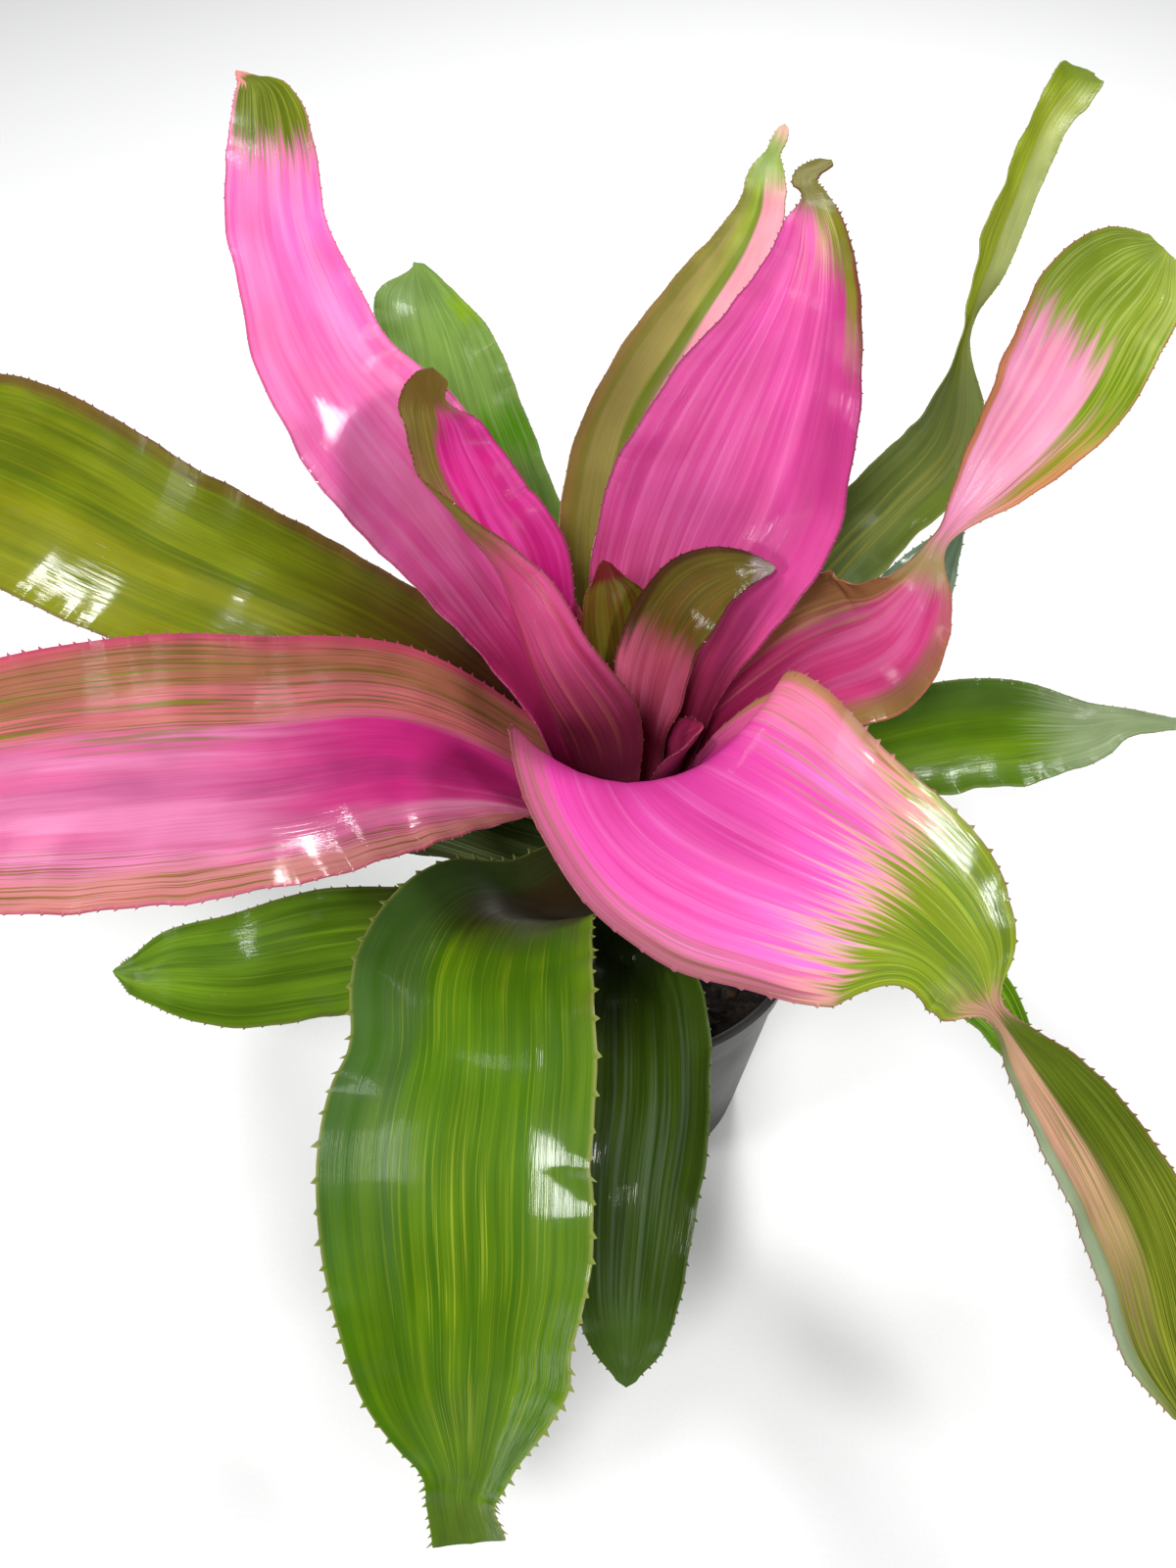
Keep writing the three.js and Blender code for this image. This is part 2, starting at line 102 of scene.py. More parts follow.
# Leaves from the heart outwards; a leaf's place in the list sets how low on the stem it grows. Each
# has its sheath's length and heading, the length of its pointed end and its path. A row of the path
# holds reach from the pot's axis, height, heading (0 right, 90 back, 180 left, 270 front), width,
# cup (half the angle that the section bends through) and roll.
leafShapes = {
    "heart_right": (16, 76, 3, [
        (11, 198, 66, 22, 60, 0), (14, 217, 62, 27, 48, 4), (20, 234, 56, 27, 36, 8),
        (28, 246, 47, 25, 30, 18), (37, 253, 35, 16, 28, 32), (45, 255, 27, 5, 28, 42)]),
    "heart_small": (16, 96, 3, [
        (15, 197, 102, 22, 60, 0), (20, 219, 106, 27, 50, 6), (25, 238, 109, 25, 42, 10),
        (29, 249, 109, 7, 30, 10)]),
    "heart_left": (18, 190, 4, [
        (18, 194, 198, 47, 100, 7), (25, 216, 195, 62, 105, 15), (34, 238, 175, 55, 105, 20),
        (42, 258, 162, 52, 100, 16), (54, 273, 156, 49, 56, 15), (67, 284, 149, 41, 38, 8),
        (75, 294, 144, 29, 32, 2), (81, 300, 139, 13, 30, 0)]),
    "cup_front": (16, 346, 2, [
        (15, 188, 342, 26, 66, 0), (18, 201, 342, 27, 58, 0), (22, 212, 342, 7, 40, 0)]),
    "front_right_long": (26, 288, 3, [
        (22, 194, 284, 54, 68, 0), (30, 212, 281, 102, 56, 0), (60, 213, 299, 108, 36, 8),
        (96, 206, 314, 78, 26, 12), (124, 197, 317, 48, 22, 20), (139, 188, 317, 7, 24, 30),
        (160, 175, 317, 22, 26, 34), (182, 158, 317, 30, 25, 34), (204, 138, 316, 34, 25, 32),
        (224, 116, 314, 31, 25, 30), (240, 97, 313, 12, 25, 26)]),
    "back_right_broad": (28, 62, 4, [
        (26, 208, 64, 54, 62, 0), (40, 238, 60, 72, 50, 4), (53, 266, 54, 78, 42, 12),
        (62, 296, 50, 62, 33, 18), (70, 318, 49, 42, 30, 22), (80, 332, 52, 26, 32, 20),
        (94, 339, 58, 16, 36, 14), (108, 340, 63, 9, 36, 8), (121, 340, 62, 6, 36, 5)]),
    "right_twisted": (26, 8, 3, [
        (30, 200, 10, 46, 60, 4), (56, 220, 11, 56, 44, 18), (78, 231, 10, 52, 34, 28),
        (90, 244, 13, 26, 30, 40), (99, 258, 18, 6, 30, 60), (121, 271, 23, 26, 28, 42),
        (149, 283, 28, 43, 26, 36), (176, 294, 33, 47, 25, 34), (199, 299, 35, 39, 25, 30),
        (222, 298, 37, 14, 25, 26)]),
    "back_left_long": (26, 138, 6, [
        (34, 202, 138, 44, 60, -5), (57, 227, 139, 42, 46, -18), (78, 254, 142, 48, 38, -28),
        (95, 279, 145, 53, 32, -30), (116, 300, 145, 47, 30, -20), (145, 320, 139, 34, 26, -8),
        (172, 334, 132, 30, 26, 0), (202, 339, 127, 25, 26, 0), (224, 336, 126, 8, 26, 0)]),
    "left_pink": (24, 188, 4, [
        (44, 188, 188, 54, 60, -6), (76, 212, 194, 72, 42, -20), (110, 226, 199, 80, 32, -24),
        (146, 232, 198, 84, 28, -25), (188, 230, 195, 78, 26, -23), (232, 215, 191, 62, 26, -22),
        (272, 186, 188, 6, 26, -22)]),
    "back_striped": (26, 92, 6, [
        (46, 200, 93, 46, 58, -6), (66, 228, 92, 48, 44, -10), (84, 258, 88, 42, 34, -6),
        (98, 286, 79, 36, 30, 0), (110, 306, 73, 27, 28, 6), (122, 319, 71, 17, 28, 6),
        (140, 326, 72, 11, 28, 4), (176, 323, 73, 4, 28, 0)]),
    "left_green": (20, 154, 4, [
        (48, 174, 153, 46, 58, -12), (84, 199, 155, 50, 42, -36), (120, 219, 160, 58, 32, -44),
        (160, 231, 161, 64, 26, -42), (210, 234, 158, 72, 25, -34), (258, 227, 155, 72, 25, -30),
        (302, 213, 153, 54, 25, -28), (338, 197, 152, 6, 25, -28)]),
    "right_back_twisted": (20, 50, 4, [
        (54, 170, 50, 40, 58, 0), (85, 188, 50, 40, 42, 5), (113, 207, 48, 35, 34, 10),
        (132, 224, 45, 31, 30, 15), (147, 247, 42, 28, 30, 28), (158, 279, 45, 4, 30, 62),
        (175, 296, 47, 13, 30, 50), (198, 312, 49, 14, 30, 35), (225, 322, 51, 16, 30, 22),
        (255, 325, 52, 19, 30, 12), (276, 321, 53, 15, 30, 8)]),
    "back_green": (18, 114, 3, [
        (56, 166, 114, 44, 58, 0), (90, 184, 114, 50, 44, -8), (124, 202, 114, 53, 34, -12),
        (152, 220, 114, 52, 28, -12), (180, 235, 113, 46, 25, -8), (206, 244, 112, 35, 25, 0),
        (234, 246, 111, 9, 25, 4)]),
    "front_broad": (18, 232, 2, [
        (46, 156, 232, 46, 56, 4), (70, 180, 235, 62, 38, 12), (96, 191, 241, 72, 30, 12),
        (124, 193, 248, 76, 28, 8), (150, 181, 251, 79, 24, 3), (174, 160, 254, 73, 22, 0),
        (190, 137, 255, 57, 22, -4), (202, 113, 256, 28, 22, -8), (208, 101, 256, 20, 25, -8),
        (214, 90, 257, 22, 25, -8)]),
    "right_dull": (14, 28, 3, [
        (56, 152, 28, 38, 56, 0), (92, 176, 31, 36, 40, 8), (124, 200, 35, 28, 32, 12),
        (150, 216, 38, 5, 25, 12)]),
    "right_low": (12, 14, 6, [
        (52, 136, 19, 38, 55, 0), (92, 149, 22, 46, 40, 6), (122, 154, 20, 48, 33, 12),
        (148, 157, 17, 44, 28, 16), (170, 158, 15, 28, 25, 20), (190, 158, 15, 12, 25, 20),
        (212, 155, 14, 4, 25, 20)]),
    "front_low": (12, 274, 4, [
        (40, 130, 274, 36, 56, 0), (66, 142, 273, 42, 42, 0), (96, 142, 272, 43, 34, 4),
        (122, 134, 270, 41, 28, 8), (145, 117, 269, 34, 25, 8), (157, 103, 269, 24, 25, 6),
        (164, 93, 269, 8, 25, 4)]),
    "left_hidden": (12, 172, 3, [
        (48, 138, 174, 34, 55, 0), (84, 158, 178, 40, 38, 0), (120, 168, 183, 38, 28, 0),
        (148, 166, 187, 6, 25, 0)]),
    "left_low": (10, 208, 3, [
        (48, 124, 208, 34, 55, -4), (84, 140, 207, 42, 40, -12), (112, 146, 205, 46, 34, -19),
        (136, 147, 203, 40, 28, -22), (157, 144, 199, 30, 25, -26), (171, 140, 197, 15, 25, -28),
        (178, 136, 195, 4, 25, -28)]),
    "front_right_low": (10, 352, 3, [
        (50, 114, 350, 30, 55, 0), (82, 128, 345, 32, 40, 0), (110, 136, 338, 30, 30, 5),
        (130, 138, 333, 22, 26, 10), (145, 138, 328, 12, 25, 12), (158, 136, 325, 4, 25, 12)]),
    "back_low_right": (10, 70, 3, [
        (52, 117, 70, 30, 55, 0), (88, 134, 70, 42, 38, 0), (126, 140, 70, 42, 28, 0),
        (160, 132, 70, 32, 25, 0), (188, 114, 70, 6, 25, 0)]),
    "back_low_left": (10, 136, 3, [
        (52, 114, 135, 30, 55, 0), (88, 128, 134, 42, 38, 0), (124, 132, 132, 42, 28, 0),
        (156, 122, 131, 32, 25, 0), (182, 102, 130, 6, 25, 0)]),
}
leafNames = list(leafShapes)

# Where a margin swings in from its even line, or out where the depth is negative: the place from 0
# at the base to 1 at the tip, the margin (-1 or 1), the depth in mm, and the swing's half length.
marginSwings = {
    "front_right_long": [(0.3, -1, -3.5, 0.03), (0.37, -1, 2.5, 0.03), (0.478, -1, 11.5, 0.036),
                         (0.556, -1, -6, 0.02)],
    "back_left_long": [(0.65, 1, 2.2, 0.06), (0.9, 1, 4.3, 0.12), (0.57, -1, 5, 0.06),
                            (0.935, -1, 5, 0.065)],
    "heart_left": [(0.94, -1, 6, 0.05)],
    "right_back_twisted": [(0.98, -1, 3, 0.03), (1, -1, 2, 0.015), (0.84, 1, 2.5, 0.08),
                         (1, 1, 3.5, 0.02)],
    "back_green": [(0.886, 1, -4, 0.07), (1, 1, 4, 0.05), (0.885, -1, 3.5, 0.07)],
    "back_right_broad": [(0.84, 1, 5, 0.06)],
    "back_striped": [(0.93, 1, 1.5, 0.03), (0.93, -1, 2, 0.03)],
    "front_broad": [(0.43, -1, 3.5, 0.04), (0.66, 1, 3, 0.03)],
}

# Mean distance between the spines of one margin and their mean length, in mm.
spineSizes = {
    "heart_right": (3.0, 0.7), "heart_small": (3.0, 0.6), "heart_left": (3.0, 0.75),
    "cup_front": (3.2, 0.7), "front_right_long": (4.2, 1.2),
    "back_right_broad": (3.4, 0.75), "right_twisted": (4.0, 0.55),
    "back_left_long": (4.2, 0.4), "left_pink": (4.0, 1.0),
    "back_striped": (4.0, 0.45), "left_green": (4.0, 0.65),
    "right_back_twisted": (4.6, 0.35), "back_green": (4.4, 0.35),
    "front_broad": (5.6, 1.7), "right_low": (4.6, 0.5), "front_low": (4.8, 1.1),
    "left_low": (4.4, 0.8),
}

bladeDetail = {
    "spines": (4.6, 1.0),       # for the leaves that the list leaves out
    "spineVaries": (0.55, 1.2),
    "spineSlender": 0.42,       # half the width of a spine over its length
    "spineLean": 0.5,           # how far its point leans towards the leaf's tip
    "spineThick": 0.12,
    "firstSpine": 1.4,          # in sheath lengths from the base
    "marginBand": 0.9,          # width of the strip that carries the spines
    "sheathStep": 3.0,          # mm between sections below the first spine
    "columns": 13,              # across the blade, between its margin strips
    "tipPlaces": (0.3, 0.55, 0.75, 0.9, 1.0),   # sections of the pointed end
    "tipRound": 1.6,
    "waveHigh": 0.55,           # mm that the margins wave up and down
    "waveLong": 31,
    # low swells of the whole blade: height, length across and length along, in mm
    "swells": ((0.18, 15, 46), (0.08, 9, 70), (0.3, 38, 33)),
}


def along(values, part):
    # smooth line through evenly spaced values, straight in its first stretch
    last = len(values) - 1
    place = np.clip(part, 0, 1) * last
    i = np.minimum(place.astype(int), last - 1)
    f = place - i
    slopes = np.empty(last + 1)
    slopes[:2] = values[1] - values[0]
    slopes[2:last] = (values[3:] - values[1:-2]) / 2
    slopes[last] = values[last] - values[last - 1]
    rise = values[i + 1] - values[i]
    start = slopes[i]
    end = slopes[i + 1]
    return values[i] + f * (start + f * (3 * rise - 2 * start - end + f * (start + end - 2 * rise)))


def stemRadius(height):
    form = plantForm
    return form["stemTopRadius"] + (form["stemTop"] - height) / form["leafStep"] * form["stemTaper"]


def leafLine(name):
    sheath, heading, tip, path = leafShapes[name]
    rank = leafNames.index(name)
    form = plantForm
    wrap = form["sheathWrap"]
    wrapArc = 2 * math.radians(wrap)
    height = form["stemTop"] - rank * form["leafStep"]
    reach = form["stemClear"] * stemRadius(height) + form["seatGap"] + form["leafThick"] / 2
    flared = reach + sheath * form["sheathFlare"]
    rows = [(reach, height, heading, wrapArc * reach, wrap, 0),
            (flared, height + sheath, heading, wrapArc * flared, wrap, 0)] + path
    line = dict(zip(("reach", "height", "heading", "width", "cup", "roll"), np.array(rows, float).T))
    line.update(rank=rank, tip=tip, sheathEnd=1 / (len(rows) - 1), swings=marginSwings.get(name, []))
    return line


def linePoint(line, part):
    reach = along(line["reach"], part)
    turn = np.radians(along(line["heading"], part))
    return np.stack([reach * np.cos(turn), reach * np.sin(turn), along(line["height"], part)], -1)


def leafLength(line, steps):
    spine = linePoint(line, np.linspace(0, 1, steps))
    return float(np.linalg.norm(np.diff(spine, axis=0), axis=1).sum())


def halfWidth(line, part):
    return np.maximum(along(line["width"], part), plantForm["leastWidth"]) / 2


def unit(vectors):
    return vectors / np.maximum(np.linalg.norm(vectors, axis=-1, keepdims=True), 1e-9)


def surfacePoints(line, part, side):
    # middle surface of the leaf; side runs from -1 at one margin to 1 at the other
    here = linePoint(line, part)
    step = 0.004
    forward = unit(linePoint(line, part + step) - linePoint(line, part - step))
    turn = np.radians(along(line["heading"], part))
    level = np.zeros_like(turn)
    outward = np.stack([np.cos(turn), np.sin(turn), level], -1)
    across = np.stack([-np.sin(turn), np.cos(turn), level], -1)
    across = unit(across - (across * forward).sum(-1, keepdims=True) * forward)
    inward = np.cross(forward, across)
    free = np.clip(part / line["sheathEnd"] - 1, 0, 1)
    facing = unit(inward * free[..., None] + outward * (free[..., None] - 1))
    roll = np.radians(along(line["roll"], part))[..., None]
    rolledAcross = across * np.cos(roll) + facing * np.sin(roll)
    rolledFacing = facing * np.cos(roll) - across * np.sin(roll)
    half = halfWidth(line, part)
    freeBend = np.radians(np.maximum(along(line["cup"], part), plantForm["leastCup"])) / half
    bend = 1 / (free * freeBend + (1 - free) / np.hypot(here[..., 0], here[..., 1]))
    place = half * side
    for at, margin, depth, length in line["swings"]:
        place = place - (margin * side > 0) * depth * side * np.exp(-((part - at) / length) ** 2)
    angle = place / bend
    return (here + rolledAcross * (bend * np.sin(angle))[..., None]
            + rolledFacing * (bend * (1 - np.cos(angle)))[..., None])


def bladeSections(line, long, name):
    # sections along the leaf, with how far each margin's spine stands out at every one
    detail = bladeDetail
    every, stand = spineSizes.get(name, detail["spines"])
    draw = random.Random(40 + line["rank"])
    place = detail["firstSpine"] * line["sheathEnd"] * long
    places = list(np.arange(0, place - 1, detail["sheathStep"]))
    stands = {-1: [0.0] * len(places), 1: [0.0] * len(places)}
    slot = every / 2
    side = draw.choice((-1, 1))
    while place < long - slot:
        tall = stand * draw.uniform(*detail["spineVaries"])
        step = max(stand, 0.6) * detail["spineSlender"] * draw.uniform(0.8, 1.1)
        for k, reach in enumerate((0.0, tall, 0.0)):
            places.append(place + k * step)
            stands[side].append(reach)
            stands[-side].append(0.0)
        place += slot * draw.uniform(0.75, 1.25)
        side = -side
    places.append(long)
    for margin in stands.values():
        margin += [0.0] * (1 + len(detail["tipPlaces"]))
    return np.array(places) / long, stands


def leafSkins(name):
    # the upper and lower skins as grids of points, with each point's place on the leaf
    line = leafLine(name)
    rank = line["rank"]
    detail = bladeDetail
    long = leafLength(line, 121)
    part, stands = bladeSections(line, long, name)
    strip = np.clip(detail["marginBand"] / halfWidth(line, part), 0.03, 0.3)[:, None]
    edge = np.ones((len(part), 1))
    side = np.hstack([-edge, np.linspace(-1, 1, detail["columns"])[None] * (1 - strip), edge])
    parts = np.repeat(part[:, None], side.shape[1], axis=1)
    middle = surfacePoints(line, parts, side)

    # the pointed end: a few more sections that close in beyond the last one
    ends = np.array([[1.0], [0.99]])
    lastMiddle = surfacePoints(line, ends, ends * 0)[:, 0]
    ahead = unit(lastMiddle[0] - lastMiddle[1])
    tipPlaces = detail["tipPlaces"]
    for t in tipPlaces:
        close = max(1 - t ** detail["tipRound"], 0.03)
        end = surfacePoints(line, np.ones(side.shape[1]), side[-1] * close)
        middle = np.concatenate([middle, (end + ahead * line["tip"] * t)[None]])
    parts = np.vstack([parts, np.ones((len(tipPlaces), side.shape[1]))])
    side = np.vstack([side, np.repeat(side[-1:], len(tipPlaces), axis=0)])

    # waving margins and low swells, still at the sheath and at the tip
    distance = parts * long
    fade = np.clip((parts - 1.3 * line["sheathEnd"]) * 6, 0, 1) * np.clip((1 - parts) * 8, 0, 1)
    phase = np.where(side > 0, 2.1 * rank, 1.3 * rank + 2)
    turns = 2 * math.pi * distance / detail["waveLong"]
    wave = np.sin(turns + phase) + 0.5 * np.sin(turns / 0.43 + 2 * phase)
    normal = unit(np.cross(np.gradient(middle, axis=0), np.gradient(middle, axis=1)))
    lift = detail["waveHigh"] * wave * np.abs(side) ** 3
    across = halfWidth(line, parts) * side
    for number, (high, wideStep, longStep) in enumerate(detail["swells"]):
        drift = 2.4 * np.sin(distance / longStep * 1.7 + rank + number)
        lift = lift + high * np.sin(2 * math.pi * across / wideStep + drift + 1.9 * rank) * np.cos(
            2 * math.pi * distance / longStep + 0.7 * rank + number)
    middle = middle + normal * (lift * fade)[..., None]

    # spines: the margin's own points drawn outwards and forwards
    form = plantForm
    thick = form["leafThick"] + (form["marginThick"] - form["leafThick"]) * np.abs(side)
    forward = unit(np.gradient(middle, axis=0))
    for margin, column, inner in ((-1, 0, 1), (1, -1, -2)):
        stand = np.array(stands[margin])[:, None]
        outward = unit(middle[:, column] - middle[:, inner])
        middle[:, column] += outward * stand + forward[:, column] * stand * detail["spineLean"]
        thick[:, column] = np.where(stand[:, 0] > 0, detail["spineThick"], thick[:, column] * 0.8)
    half = normal * thick[..., None] / 2
    return middle + half, middle - half, parts, side


def buildLeaf(name, upperSkin, underSkin):
    upper, lower, parts, side = leafSkins(name)
    rows, columns = side.shape
    count = rows * columns
    index = np.arange(count).reshape(rows, columns)
    corners = [index[1:, :-1], index[1:, 1:], index[:-1, 1:], index[:-1, :-1]]
    top = np.stack([corner.ravel() for corner in corners], 1)
    under = top[:, ::-1] + count
    rim = []
    for edge, flipped in ((index[:, 0], 1), (index[:, -1], 0), (index[0], 0), (index[-1], 1)):
        a = edge[:-1]
        b = edge[1:]
        rim.append(np.stack([a, a + count, b + count, b] if flipped else [a, b, b + count, a + count], 1))
    faces = np.vstack([top, *rim, under])
    slots = [0] * (len(faces) - len(under)) + [1] * len(under)
    points = np.concatenate([upper.reshape(-1, 3), lower.reshape(-1, 3)]) * mm
    piece = addPiece("blade_" + name, points, faces.tolist(), [upperSkin, underSkin], "leaf_" + name,
                     slots)
    place = np.tile(np.stack([(side.ravel() + 1) / 2, parts.ravel()], 1), (2, 1))
    loops = np.empty(len(piece.data.loops), int)
    piece.data.loops.foreach_get("vertex_index", loops)
    bladeMap = piece.data.uv_layers.new(name="bladeMap")
    bladeMap.data.foreach_set("uv", place[loops].astype(np.float32).ravel())


# Leaf finishes. rim: the thin tinted margin. under: the underside, greenUnder where it isn't given.
# body: the two tones that drift along the blade. patch: a second colour over part of the leaf, from
# 0 at the stem to 1 at the tip, and over its width from -1 to 1 (side). stripe: the patch shows as
# lines of that width in mm, and a lower cut gives more of them. wax: how glossy the wet-looking film
# is, 1 where it isn't given. film: patches whose number instead of a colour makes the film denser
# there, or thinner below 0.

def patch(colour, part=(-1, 2), side=(-2, 2), soft=0.05, stripe=0, cut=0.5, amount=1):
    return {"colour": colour, "part": part, "side": side, "soft": soft, "stripe": stripe,
            "cut": cut, "amount": amount}


pinkUnder = {"wax": 0, "body": ("#8f8058", "#a87f74"), "patches": [
    patch("#6f7a3c", stripe=3, cut=0.52, amount=0.6)]}
greenUnder = {"wax": 0, "body": ("#6f8450", "#61763c"), "patches": [
    patch("#8f9a5c", stripe=2.4, cut=0.54, amount=0.6)]}
lowGreen = {"rim": "#7c7c44", "body": ("#4a6c10", "#587a1a"), "patches": [
    patch("#84983a", (0.2, 2), stripe=1.4, cut=0.56)]}

